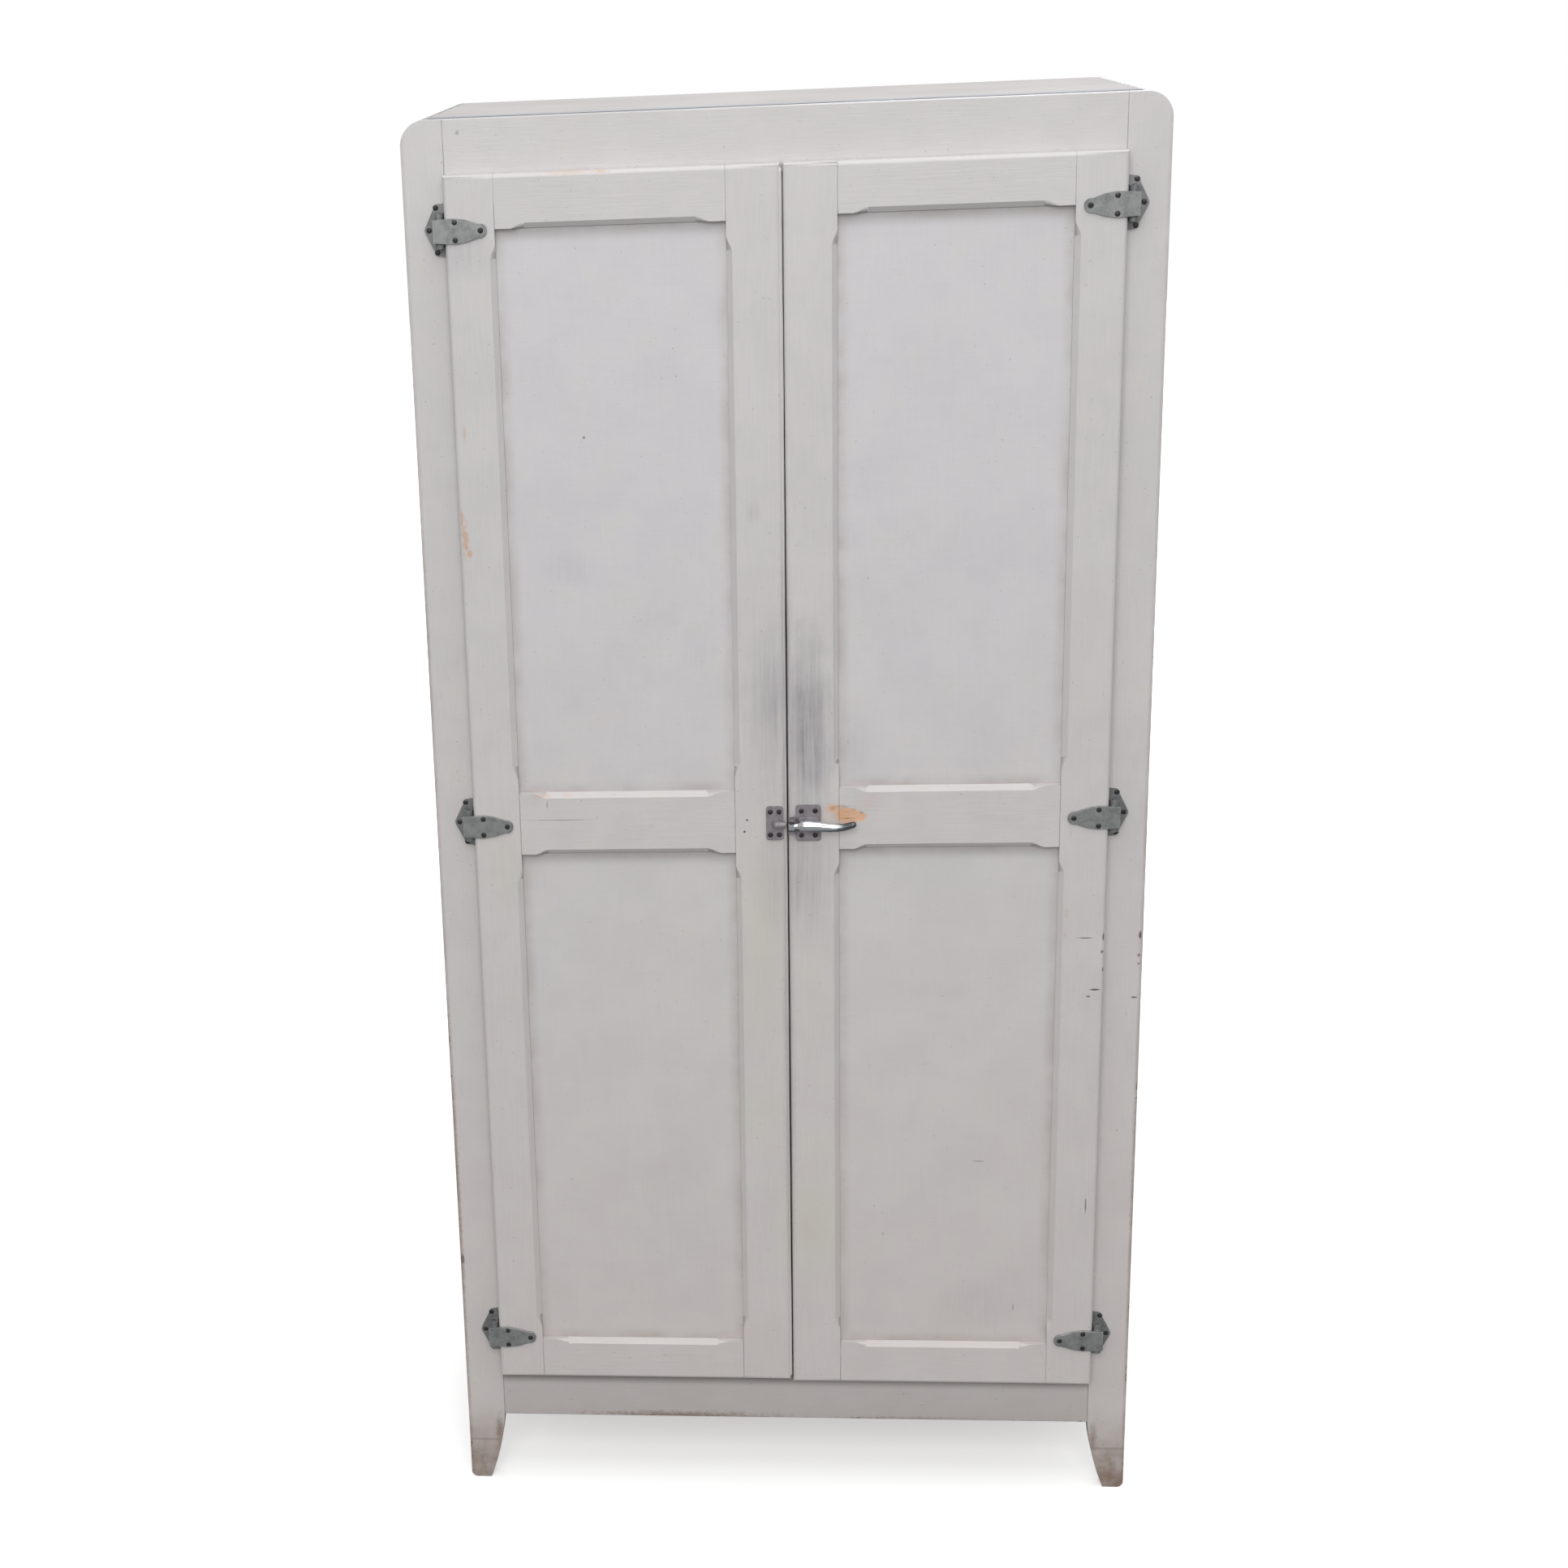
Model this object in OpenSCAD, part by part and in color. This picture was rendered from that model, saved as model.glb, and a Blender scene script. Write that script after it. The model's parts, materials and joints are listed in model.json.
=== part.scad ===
// Pantry cabinet with two panelled doors on six offset hinges, a lever latch where the
// doors meet and a slide bolt inside the left door.
// Millimetres. +X is to the right, +Y to the back, +Z up. The origin is on the floor, in
// the middle of the whole cabinet's footprint. Sizes along Y count from the face of the
// front frame, and put_in_place() moves the finished pieces to the origin.
// A piece that comes in a left and a right hand is drawn for the right side.

/* [Carcass] */
// Width of the cabinet
body_w = 850; // [700:1:1030]
// Height of the cabinet
body_h = 1750; // [1450:1:2110]
// Depth of the carcass, from the front frame's face to the back boards
body_d = 420; // [340:1:510]
// Radius of the two long rounded edges at the top
corner_r = 28; // [18:1:34]
// Thickness of the front frame, posts and rails
frame_t = 22; // [20:1:28]
// Width of a front stile
stile_w = 60; // [50:1:75]
// Height of the top rails
top_rail_h = 70; // [55:1:90]
// Height of the bottom rails
bottom_rail_h = 81; // [60:1:100]
// Width of a side's top rail, across the cabinet
side_top_w = 40; // [36:1:50]
// How far the front rails lap over the stiles
rail_lap = 12; // [6:1:18]
// Thickness of the front rails' laps
rail_lap_t = 10; // [8:1:11]
// Width of a rear post, along the side
post_w = 48; // [40:1:60]
// Thickness of a side panel
side_panel_t = 8; // [5:0.5:9]
// Thickness of the top panel
top_panel_t = 12; // [8:1:15]
// Width of the rebate that carries the top panel
top_rebate_w = 12; // [8:1:16]
// Open seam between the front rail and the top panel
top_seam = 0.8; // [0.2:0.1:2]
// Thickness of the back boards
back_t = 10; // [8:1:12]
// Number of back boards
back_board_count = 5; // [3:1:7]
// How far one back board laps over the next
back_lap = 6; // [4:1:8]

/* [Feet] */
// Height of the feet, up to the bottom rails
foot_h = 96; // [60:1:130]
// Width of a foot where it meets the floor
foot_tip_w = 26; // [20:1:34]
// How far a foot's inner edge bows out from a straight line
foot_bow = 3.6; // [1:0.1:6]
// Rounding of a foot's outer corner at the floor
foot_round = 9; // [4:1:14]

/* [Shelves] */
// Thickness of a shelf
shelf_t = 18; // [14:1:22]
// Thickness of the bottom board
bottom_board_t = 15; // [12:1:20]
// Distance from the front frame's face to a shelf's front edge
shelf_set_back = 45; // [40:1:80]
// Side of a square shelf cleat
cleat = 20; // [15:1:25]

/* [Doors] */
// Thickness of a door
door_t = 21; // [18:1:26]
// How far a door laps over the frame at its side
door_side_lap = 12; // [8:1:16]
// How far a door laps over the top rail
door_top_lap = 10; // [6:1:14]
// How far the left door laps over the bottom rail
door_bottom_lap = 12; // [5:1:15]
// How much further down the right door reaches, as it was built
right_door_drop = 2.5; // [0:0.5:6]
// How much higher the right door's rails and hinges sit, as it was built
right_door_lift = 3.5; // [0:0.5:6]
// Gap between the two doors
door_gap = 3; // [2:0.5:5]
// Width of a door's hinge stile
hinge_stile_w = 56.5; // [50:0.5:70]
// Width of a door's meeting stile
meeting_stile_w = 60; // [55:0.5:72]
// Height of a door's top rail
door_top_rail_h = 60.5; // [45:0.5:80]
// Height of a door's mid rail
mid_rail_h = 78; // [60:1:100]
// Height of a door's bottom rail
door_bottom_rail_h = 56; // [40:1:80]
// Height of the left mid rail's lower edge above the floor
mid_rail_z = 885; // [700:1:1060]
// Rounding of a door's outer edges
door_round = 5; // [2:0.5:7]
// Thickness of a door panel
panel_t = 6; // [4:0.5:7]
// How far a panel lies behind the door's face
panel_recess = 8; // [7:0.5:9]
// Depth of the grooves that hold the panels
groove_d = 9; // [6:1:12]
// Width of the stopped chamfers round the panels
chamfer_w = 6.4; // [3:0.1:6.8]
// Distance from a corner to the start of a chamfer
chamfer_stop = 15; // [8:1:25]
// Length of a chamfer's curved run-out
chamfer_runout = 19; // [10:1:30]

/* [Hinges] */
// Thickness of the hinge plates
plate_t = 3; // [2:0.1:3.6]
// Distance of the hinge axis outside the door's edge
hinge_out = 6.5; // [6:0.1:9]
// Distance of the hinge axis in front of the frame
hinge_front = 16; // [14:0.5:18]
// Radius of the knuckle
knuckle_r = 5; // [4:0.1:5.2]
// Radius of the hinge pin
pin_r = 2.4; // [1.8:0.1:3]
// Half the height of the door's knuckle
knuckle_half = 14.2; // [12:0.1:16]
// Height of one lug on the frame leaf
lug_h = 5; // [3:0.5:7]
// Length of the strap on the door, from the door's edge
strap_l = 48; // [40:1:52]
// Height of the frame leaf
leaf_h = 60; // [54:1:72]
// Distance from the door's top edge to the top hinge
top_hinge_inset = 61; // [45:1:120]
// Distance from the door's bottom edge to the bottom hinge
bottom_hinge_inset = 59; // [45:1:120]

/* [Latch] */
// Height of the latch above the floor
latch_z = 923; // [700:1:1060]
// Width of the latch case's plate
case_w = 30; // [28:1:36]
// Height of the latch case's plate
case_h = 45; // [40:1:56]
// Distance from the right door's meeting edge to the latch case
case_inset = 8.5; // [7:0.5:12]
// Distance from the door's face to the lever's axis
lever_stand = 13.5; // [12.5:0.5:18]
// Greatest radius of the lever
lever_r = 6.75; // [5:0.25:7]
// Length of the lever, from its pivot
lever_l = 77; // [60:1:95]
// Radius of the lever's pin
latch_pin_r = 2; // [1.5:0.1:2.2]
// Width of the strike plate
strike_w = 20.5; // [18:0.5:24]
// Height of the strike plate
strike_h = 42; // [38:1:50]

/* [Bolt] */
// Radius of the bolt's rod
rod_r = 4; // [3:0.5:5]
// Distance from the middle of the cabinet to the rod
bolt_x = 30; // [24:1:36]
// Travel of the bolt
bolt_travel = 14; // [10:1:16]
// Height of the bolt's plate
bolt_plate_h = 82; // [70:1:100]

/* [Fits] */
// Clearance round tenons, panels and other wooden joints
wood_fit = 0.2; // [0.1:0.05:0.5]
// Clearance round a pin in its bore
pin_fit = 0.08; // [0.02:0.01:0.1]
// Clearance round a screw or nail
screw_fit = 0.1; // [0.05:0.05:0.2]
// Gap between a closed door and the frame
door_seat = 0.5; // [0.3:0.1:1]

/* [Hidden] */
$fn = 48;

paint = [0.78, 0.77, 0.76];
bare_wood = [0.72, 0.60, 0.43];
zinc = [0.49, 0.49, 0.48];
dark_steel = [0.25, 0.24, 0.24];
bright = [0.85, 0.86, 0.88];

LEFT = -1;
RIGHT = 1;
TOP = 2;
MID = 1;
BOTTOM = 0;
// How far a cutting shape runs past the face it opens
over = 1;

// Places in the carcass
half_w = body_w / 2;
opening_x = half_w - stile_w;
lap_x = opening_x + rail_lap;
side_in_x = half_w - frame_t;
side_top_in_x = half_w - side_top_w;
round_x = half_w - corner_r;
top_rail_z = body_h - top_rail_h;
bottom_rail_top = foot_h + bottom_rail_h;
post_y = body_d - post_w;
back_in_y = body_d - back_t;
back_rail_y = back_in_y - frame_t;
panel_out_x = side_in_x + (frame_t + side_panel_t) / 2;
panel_in_x = panel_out_x - side_panel_t;
top_seat_z = body_h - top_panel_t;
// The rebate ends where the rounded edge starts
top_edge_x = side_top_in_x + top_rebate_w;
back_half = side_in_x + 8;

// Wooden joints of the carcass
tenon_l = 12;
tenon_t = 8;
tenon_inset = 12;
side_groove = 8;
lap_tenon_l = 20;
lap_tenon_t = 5;

// Shelves
shelf_count = 4;
shelf_half = side_in_x - 1;
shelf_back_y = back_in_y - 1;
bay_h = (top_rail_z - bottom_rail_top - shelf_count * shelf_t) / (shelf_count + 1);

// Doors
door_out_x = opening_x + door_side_lap;
door_in_x = door_gap / 2;
door_back_y = -door_seat;
door_face_y = door_back_y - door_t;
door_top_z = top_rail_z + door_top_lap;
left_door_low = bottom_rail_top - door_bottom_lap;
shoulder_out = door_out_x - hinge_stile_w;
shoulder_in = door_in_x + meeting_stile_w;
panel_face_y = door_face_y + panel_recess;
door_tenon_l = 24;
door_tenon_t = 7;
door_tenon_inset = 12;

// Hinges
hinge_x = door_out_x + hinge_out;
hinge_y = -hinge_front;
leaf_in_x = door_out_x + 1;
leaf_apex_x = door_out_x + 25;
lug_z = knuckle_half + 0.3;
strap_end_x = hinge_x + hinge_out;
strap_tip_r = 8;
strap_wide_x = door_out_x - 12;
strap_half = 14.5;
leaf_screws = [[11, leaf_h / 2 - 5], [11, 5 - leaf_h / 2], [19.5, 0]];
strap_screws = [[-12, 10], [-12, -10], [strap_tip_r - 1 - strap_l, 0]];

// Screws and nails
screw_r = 1.7;
screw_head_r = 3.2;
screw_head_h = 1.7;
screw_dome_h = 0.7;
screw_l = 14;
nail_r = 1.2;
nail_head_r = 2.6;
nail_l = 26;
nail_sunk = 0.6;

// Latch
case_x = door_in_x + case_inset;
latch_pin_x = case_x - 4.8;
lever_y = door_face_y - lever_stand;
barrel_r = 4.2;
barrel_half = 6.1;
spring_h = 2.6;
play = 0.3;
ear_t = 3;
ear_low = barrel_half + play;
case_screw_x = 6.8;
case_screw_z = case_h / 2 - 7.3;
strike_edge_x = 4.5;
strike_x = strike_edge_x + strike_w;
strike_screw_x = 5;
strike_screw_z = strike_h / 2 - 6.6;
nose_tip_x = 0.3;

// Bolt
bolt_y = 8;
bolt_plate_t = 2;
bolt_plate_w = 28;
bolt_plate_top = top_rail_z - 8;
bolt_plate_low = bolt_plate_top - bolt_plate_h;
rod_top = top_rail_z - 5;
rod_low = bolt_plate_low + 6;
guide_h = 8;
guide_half = rod_r + 4;
guide_zs = [bolt_plate_low + 12, bolt_plate_top - 12 - guide_h];
knob_z = bolt_plate_low + 36;
bolt_hole_r = rod_r + 0.6;
bolt_hole_d = bolt_travel + 4;
bolt_screw_x = bolt_plate_w / 2 - 4;
bolt_screw_zs = [bolt_plate_low + 5, bolt_plate_top - 5];

// The lever's surface is the foremost point of the cabinet
lever_front = lever_y - lever_r;
middle_y = (body_d + lever_front) / 2;

function door_low(side) = side == LEFT ? left_door_low : left_door_low - right_door_drop;
function lift(side) = side == LEFT ? 0 : right_door_lift;
function mid_low(side) = mid_rail_z + lift(side);
function mid_high(side) = mid_low(side) + mid_rail_h;
function bottom_high() = left_door_low + door_bottom_rail_h;
function top_low(side) = door_top_z - door_top_rail_h + lift(side);
function hinge_z(side, place) =
    lift(side) + (place == TOP ? door_top_z - top_hinge_inset
        : place == MID ? mid_rail_z + mid_rail_h / 2 - 2
        : left_door_low + bottom_hinge_inset);
function shelf_z(i) = bottom_rail_top + i * bay_h + (i - 1) * shelf_t;

// Points of a bow from p to q that stands out to the right of that line by at most rise
function bow(p, q, rise, steps = 10) = [
    for (i = [0 : steps])
        let (u = i / steps, d = q - p, n = [d[1], -d[0]] / norm(d))
            p + u * d + n * rise * 4 * u * (1 - u)
];

module put_in_place() {
    translate([0, -middle_y, 0]) children();
}

module on_side(side) {
    mirror([side == LEFT ? 1 : 0, 0, 0]) children();
}

// Box between two opposite corners
module block(low, high) {
    translate(low) cube(high - low);
}

// Outline in X and Z, drawn out along Y from y_from to y_to
module along_y(y_from, y_to) {
    translate([0, y_to, 0]) rotate([90, 0, 0]) linear_extrude(y_to - y_from) children();
}

// Rectangle with four rounded corners, about its middle
module round_plate(w, h, r) {
    square([w - 2 * r, h], center = true);
    square([w, h - 2 * r], center = true);
    for (x = [r - w / 2, w / 2 - r], y = [r - h / 2, h / 2 - r]) {
        translate([x, y]) circle(r);
    }
}

// ---------------------------------------------------------------- fasteners

// Oval head screw along +Y, its seat at y = 0 on the plate's face
module screw(fit = 0, length = screw_l) {
    rotate([-90, 0, 0]) {
        cylinder(r = screw_r + fit, h = length + fit);
        cylinder(r1 = screw_head_r + fit, r2 = screw_r + fit, h = screw_head_h);
        if (fit == 0) {
            difference() {
                translate([0, 0, -screw_dome_h])
                    cylinder(r1 = screw_head_r * 0.6, r2 = screw_head_r, h = screw_dome_h);
                translate([0, 0, -screw_dome_h])
                    cube([2 * screw_head_r, 0.8, 0.9], center = true);
            }
        }
    }
}

// Room for a screw: its hole and its countersink, open to the front
module screw_hole() {
    screw(screw_fit);
    rotate([90, 0, 0]) cylinder(r = screw_head_r + screw_fit, h = over);
}

module leaf_fixings(side, place) {
    for (s = leaf_screws) {
        translate([door_out_x + s[0], -plate_t, hinge_z(side, place) + s[1]]) children();
    }
}

module strap_fixings(side, place) {
    for (s = strap_screws) {
        translate([door_out_x + s[0], door_face_y - plate_t, hinge_z(side, place) + s[1]])
            children();
    }
}

module case_fixings() {
    for (x = [case_screw_x, case_w - case_screw_x], z = [-case_screw_z, case_screw_z]) {
        translate([case_x + x, door_face_y - plate_t, latch_z + z]) children();
    }
}

// Drawn on the left, because the strike has no right hand
module strike_fixings() {
    for (x = [strike_screw_x, strike_w - strike_screw_x], z = [-strike_screw_z, strike_screw_z]) {
        translate([x - strike_x, door_face_y - plate_t, latch_z + z]) children();
    }
}

// The bolt's screws are driven from the door's back
module bolt_fixings() {
    for (x = [-bolt_screw_x, bolt_screw_x], z = bolt_screw_zs) {
        translate([x - bolt_x, door_back_y + bolt_plate_t, z])
            mirror([0, 1, 0]) children();
    }
}

module nail_places() {
    board_w = 2 * back_half / back_board_count;
    for (i = [0 : back_board_count - 1], u = [0.25, 0.75],
         z = [foot_h + bottom_rail_h / 2, top_seat_z - 20]) {
        x = -back_half + (i + u) * board_w;
        translate([x, body_d - nail_sunk, z]) rotate([90, 0, 0]) children();
    }
}

module nail(fit = 0) {
    cylinder(r = nail_r + fit, h = nail_l + fit);
    cylinder(r = nail_head_r + fit, h = 1 + fit);
}

module nail_hole() {
    nail(screw_fit);
    translate([0, 0, -over - nail_sunk])
        cylinder(r = nail_head_r + screw_fit, h = over + nail_sunk + screw_fit);
}

// ---------------------------------------------------------------- front frame

// Tenons behind the laps; the fit is added on every face for the mortise
module lap_tenons(z_low, z_high, fit = 0) {
    y = (rail_lap_t + frame_t) / 2;
    block([-opening_x - lap_tenon_l - fit, y - lap_tenon_t / 2 - fit, z_low + tenon_inset - fit],
          [opening_x + lap_tenon_l + fit, y + lap_tenon_t / 2 + fit, z_high - tenon_inset + fit]);
}

module front_rail(z_low, z_high) {
    block([-opening_x, 0, z_low], [opening_x, frame_t, z_high]);
    block([-lap_x, 0, z_low], [lap_x, rail_lap_t, z_high]);
    lap_tenons(z_low, z_high);
}

// Outline of the rounded top corner and the straight outer edge
module corner_outline(x_low, z_low) {
    translate([x_low, z_low]) square([half_w - x_low, body_h - corner_r - z_low]);
    translate([x_low, z_low]) square([round_x - x_low, body_h - z_low]);
    intersection() {
        translate([round_x, body_h - corner_r]) circle(corner_r);
        translate([x_low, z_low]) square([half_w - x_low, body_h - z_low]);
    }
}

// Outline of a foot; its outer edge is at w, its top is as wide as w
module foot_outline(w) {
    edge = bow([0, foot_h], [w - foot_tip_w, 0], foot_bow);
    polygon(concat(edge, [[w - foot_round, 0], [w, foot_round], [w, foot_h]]));
    translate([w - foot_round, foot_round]) circle(foot_round);
}

module front_stile(side) {
    put_in_place() on_side(side) color(paint) difference() {
        union() {
            along_y(0, frame_t) corner_outline(opening_x, foot_h);
            along_y(0, frame_t) translate([lap_x, 0]) foot_outline(half_w - lap_x);
        }
        for (z = [[top_rail_z, body_h + over], [foot_h - over, bottom_rail_top]]) {
            block([opening_x - over, -over, z[0]], [lap_x, rail_lap_t, z[1]]);
        }
        lap_tenons(top_rail_z, body_h, wood_fit);
        lap_tenons(foot_h, bottom_rail_top, wood_fit);
        side_top_tenons(wood_fit);
        side_bottom_tenons(wood_fit);
        side_panel_block(wood_fit);
        for (place = [BOTTOM, MID, TOP]) leaf_fixings(side, place) screw_hole();
    }
}

module front_stile_left() front_stile(LEFT);
module front_stile_right() front_stile(RIGHT);

module front_top_rail() {
    put_in_place() color(paint) difference() {
        front_rail(top_rail_z, body_h);
        translate([-bolt_x, bolt_y, top_rail_z - over])
            cylinder(r = bolt_hole_r, h = bolt_hole_d + over);
    }
}

module front_bottom_rail() {
    put_in_place() color(paint) front_rail(foot_h, bottom_rail_top);
}

// ---------------------------------------------------------------- sides and top

module side_top_tenons(fit = 0) {
    x = half_w - frame_t / 2;
    block([x - tenon_t / 2 - fit, frame_t - tenon_l - fit, top_rail_z + tenon_inset - fit],
          [x + tenon_t / 2 + fit, frame_t + over, top_rail_z + 50 + fit]);
}

module side_bottom_tenons(fit = 0) {
    x = half_w - frame_t / 2;
    block([x - tenon_t / 2 - fit, frame_t - tenon_l - fit, foot_h + tenon_inset - fit],
          [x + tenon_t / 2 + fit, post_y + tenon_l + fit, bottom_rail_top - tenon_inset + fit]);
}

// Tenon at the top of a rear post, up into the side's top rail
module post_tenon(fit = 0) {
    x = half_w - frame_t / 2;
    block([x - tenon_t / 2 - fit, post_y + tenon_inset - fit, top_rail_z - over],
          [x + tenon_t / 2 + fit, back_in_y - 3 + fit, top_rail_z + tenon_l + fit]);
}

module side_panel_block(fit = 0) {
    inside = side_groove - 1;
    block([panel_in_x - fit, frame_t - inside - fit, bottom_rail_top - inside - fit],
          [panel_out_x + fit, post_y + inside + fit, top_rail_z + inside + fit]);
}

// Room behind the posts and rails for the back boards
module back_rebate() {
    block([-back_half, back_in_y, foot_h], [back_half, body_d + over, top_seat_z]);
}

module side_top_rail(side) {
    put_in_place() on_side(side) color(paint) difference() {
        union() {
            along_y(frame_t, body_d) corner_outline(side_top_in_x, top_rail_z);
            side_top_tenons();
        }
        block([side_top_in_x - over, frame_t - over, top_seat_z],
              [top_edge_x, body_d + over, body_h + over]);
        back_rebate();
        post_tenon(wood_fit);
        side_panel_block(wood_fit);
        back_top_tenons(wood_fit);
    }
}

module side_top_rail_left() side_top_rail(LEFT);
module side_top_rail_right() side_top_rail(RIGHT);

module rear_post(side) {
    put_in_place() on_side(side) color(paint) difference() {
        union() {
            block([side_in_x, post_y, foot_h], [half_w, body_d, top_rail_z]);
            translate([side_in_x, post_y, 0]) rotate([90, 0, 90])
                linear_extrude(frame_t) foot_outline(post_w);
            post_tenon();
        }
        back_rebate();
        side_bottom_tenons(wood_fit);
        side_panel_block(wood_fit);
        back_bottom_tenons(wood_fit);
    }
}

module rear_post_left() rear_post(LEFT);
module rear_post_right() rear_post(RIGHT);

module side_bottom_rail(side) {
    put_in_place() on_side(side) color(paint) difference() {
        union() {
            block([side_in_x, frame_t, foot_h], [half_w, post_y, bottom_rail_top]);
            side_bottom_tenons();
        }
        side_panel_block(wood_fit);
    }
}

module side_bottom_rail_left() side_bottom_rail(LEFT);
module side_bottom_rail_right() side_bottom_rail(RIGHT);

module side_panel(side) {
    put_in_place() on_side(side) color(paint) side_panel_block();
}

module side_panel_left() side_panel(LEFT);
module side_panel_right() side_panel(RIGHT);

module top_panel() {
    put_in_place() color(paint)
        block([wood_fit - top_edge_x, frame_t + top_seam, top_seat_z],
              [top_edge_x - wood_fit, body_d, body_h]);
}

// ---------------------------------------------------------------- back

module back_top_tenons(fit = 0) {
    y = back_rail_y + frame_t / 2;
    block([-side_top_in_x - tenon_l - fit, y - tenon_t / 2 - fit, top_rail_z + tenon_inset - fit],
          [side_top_in_x + tenon_l + fit, y + tenon_t / 2 + fit, top_seat_z - tenon_inset + fit]);
}

module back_bottom_tenons(fit = 0) {
    y = back_rail_y + frame_t / 2;
    block([-side_in_x - tenon_l - fit, y - tenon_t / 2 - fit, foot_h + tenon_inset - fit],
          [side_in_x + tenon_l + fit, y + tenon_t / 2 + fit, bottom_rail_top - tenon_inset + fit]);
}

module back_top_rail() {
    put_in_place() color(bare_wood) difference() {
        union() {
            block([-side_top_in_x, back_rail_y, top_rail_z], [side_top_in_x, back_in_y, top_seat_z]);
            back_top_tenons();
        }
        nail_places() nail_hole();
    }
}

module back_bottom_rail() {
    put_in_place() color(paint) difference() {
        union() {
            block([-side_in_x, back_rail_y, foot_h], [side_in_x, back_in_y, bottom_rail_top]);
            back_bottom_tenons();
        }
        nail_places() nail_hole();
    }
}

// Each board's back half is shifted sideways, so that it laps over the next board
module back_boards() {
    board_w = 2 * back_half / back_board_count;
    mid_y = back_in_y + back_t / 2;
    put_in_place() color(bare_wood) difference() {
        for (i = [0 : back_board_count - 1]) {
            x = -back_half + i * board_w;
            x_in_low = i == 0 ? x : x + back_lap;
            x_in_high = i == back_board_count - 1 ? x + board_w : x + board_w + back_lap - 2 * wood_fit;
            union() {
                block([x, mid_y, foot_h], [x + board_w - 2 * wood_fit, body_d, top_seat_z]);
                block([x_in_low, back_in_y, foot_h], [x_in_high, mid_y, top_seat_z]);
            }
        }
        nail_places() nail_hole();
    }
}

module back_nails() {
    put_in_place() color(dark_steel) nail_places() nail();
}

// ---------------------------------------------------------------- inside

module bottom_board() {
    put_in_place() color(bare_wood)
        block([wood_fit - side_in_x, frame_t, bottom_rail_top - bottom_board_t],
              [side_in_x - wood_fit, back_rail_y, bottom_rail_top]);
}

module shelf(i) {
    put_in_place() color(bare_wood)
        block([-shelf_half, shelf_set_back, shelf_z(i)], [shelf_half, shelf_back_y, shelf_z(i) + shelf_t]);
}

module shelf_1() shelf(1);
module shelf_2() shelf(2);
module shelf_3() shelf(3);
module shelf_4() shelf(4);

// Four pairs under the shelves, and one pair on the rails under the bottom board
module shelf_cleats() {
    board_z = bottom_rail_top - bottom_board_t;
    put_in_place() color(bare_wood) for (side = [LEFT, RIGHT]) on_side(side) {
        for (i = [1 : shelf_count]) {
            block([panel_in_x - cleat, frame_t, shelf_z(i) - cleat], [panel_in_x, post_y, shelf_z(i)]);
        }
        block([side_in_x - cleat, frame_t, board_z - cleat], [side_in_x, post_y, board_z]);
    }
}

// ---------------------------------------------------------------- doors

// The whole door's outer form, with its front edges rounded
module door_form(side) {
    low = door_low(side);
    intersection() {
        translate([0, 0, low]) linear_extrude(door_top_z - low) {
            translate([door_in_x, door_face_y + door_round])
                square([door_out_x - door_in_x, door_t - door_round]);
            translate([door_in_x + door_round, door_face_y])
                square([door_out_x - door_in_x - 2 * door_round, door_t]);
            for (x = [door_in_x + door_round, door_out_x - door_round]) {
                translate([x, door_face_y + door_round]) circle(door_round);
            }
        }
        rotate([90, 0, 90]) linear_extrude(door_out_x + over) {
            translate([door_face_y + door_round, low])
                square([door_t - door_round + over, door_top_z - low]);
            translate([door_face_y, low + door_round])
                square([door_t, door_top_z - low - 2 * door_round]);
            for (z = [low + door_round, door_top_z - door_round]) {
                translate([door_face_y + door_round, z]) circle(door_round);
            }
        }
    }
}

// Half of the chamfer's depth profile: it falls along an S from 0 to the full depth
function runout(from, dir, steps = 8) = [
    for (i = [0 : steps])
        let (u = i / steps)
            [from + dir * u * chamfer_runout, -chamfer_w / sqrt(2) * u * u * (3 - 2 * u)]
];

// Cutter for a stopped chamfer on an edge of this length along X, whose solid lies
// above and behind the edge; turn swings it about Y for the other three edges
module stopped_chamfer(at, length, turn) {
    half = length / 2 - chamfer_stop;
    depth = runout(-half, 1);
    rise = runout(half, -1);
    outline = concat([[-half, over]], depth, [for (i = [len(rise) - 1 : -1 : 0]) rise[i]],
                     [[half, over]]);
    translate(at) rotate([0, turn, 0]) rotate([225, 0, 0])
        linear_extrude(3 * chamfer_w, center = true) polygon(outline);
}

// Chamfers on the inner edges of the opening from z_low to z_high
module opening_chamfers(z_low, z_high) {
    x = (shoulder_in + shoulder_out) / 2;
    z = (z_low + z_high) / 2;
    across = shoulder_out - shoulder_in;
    up = z_high - z_low;
    stopped_chamfer([x, door_face_y, z_high], across, 0);
    stopped_chamfer([x, door_face_y, z_low], across, 180);
    stopped_chamfer([shoulder_out, door_face_y, z], up, 90);
    stopped_chamfer([shoulder_in, door_face_y, z], up, -90);
}

module door_chamfers(side) {
    opening_chamfers(bottom_high(), mid_low(side));
    opening_chamfers(mid_high(side), top_low(side));
}

module door_panel_block(z_low, z_high, fit = 0) {
    inside = groove_d - 1;
    block([shoulder_in - inside - fit, panel_face_y - fit, z_low - inside - fit],
          [shoulder_out + inside + fit, panel_face_y + panel_t + fit, z_high + inside + fit]);
}

module door_grooves(side) {
    door_panel_block(bottom_high(), mid_low(side), wood_fit);
    door_panel_block(mid_high(side), top_low(side), wood_fit);
}

// Tenons of the rail between z_low and z_high, right through to both stiles
module door_tenons(z_low, z_high, fit = 0) {
    y = panel_face_y + panel_t / 2;
    block([shoulder_in - door_tenon_l - fit, y - door_tenon_t / 2 - fit, z_low + door_tenon_inset - fit],
          [shoulder_out + door_tenon_l + fit, y + door_tenon_t / 2 + fit,
           z_high - door_tenon_inset + fit]);
}

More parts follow.
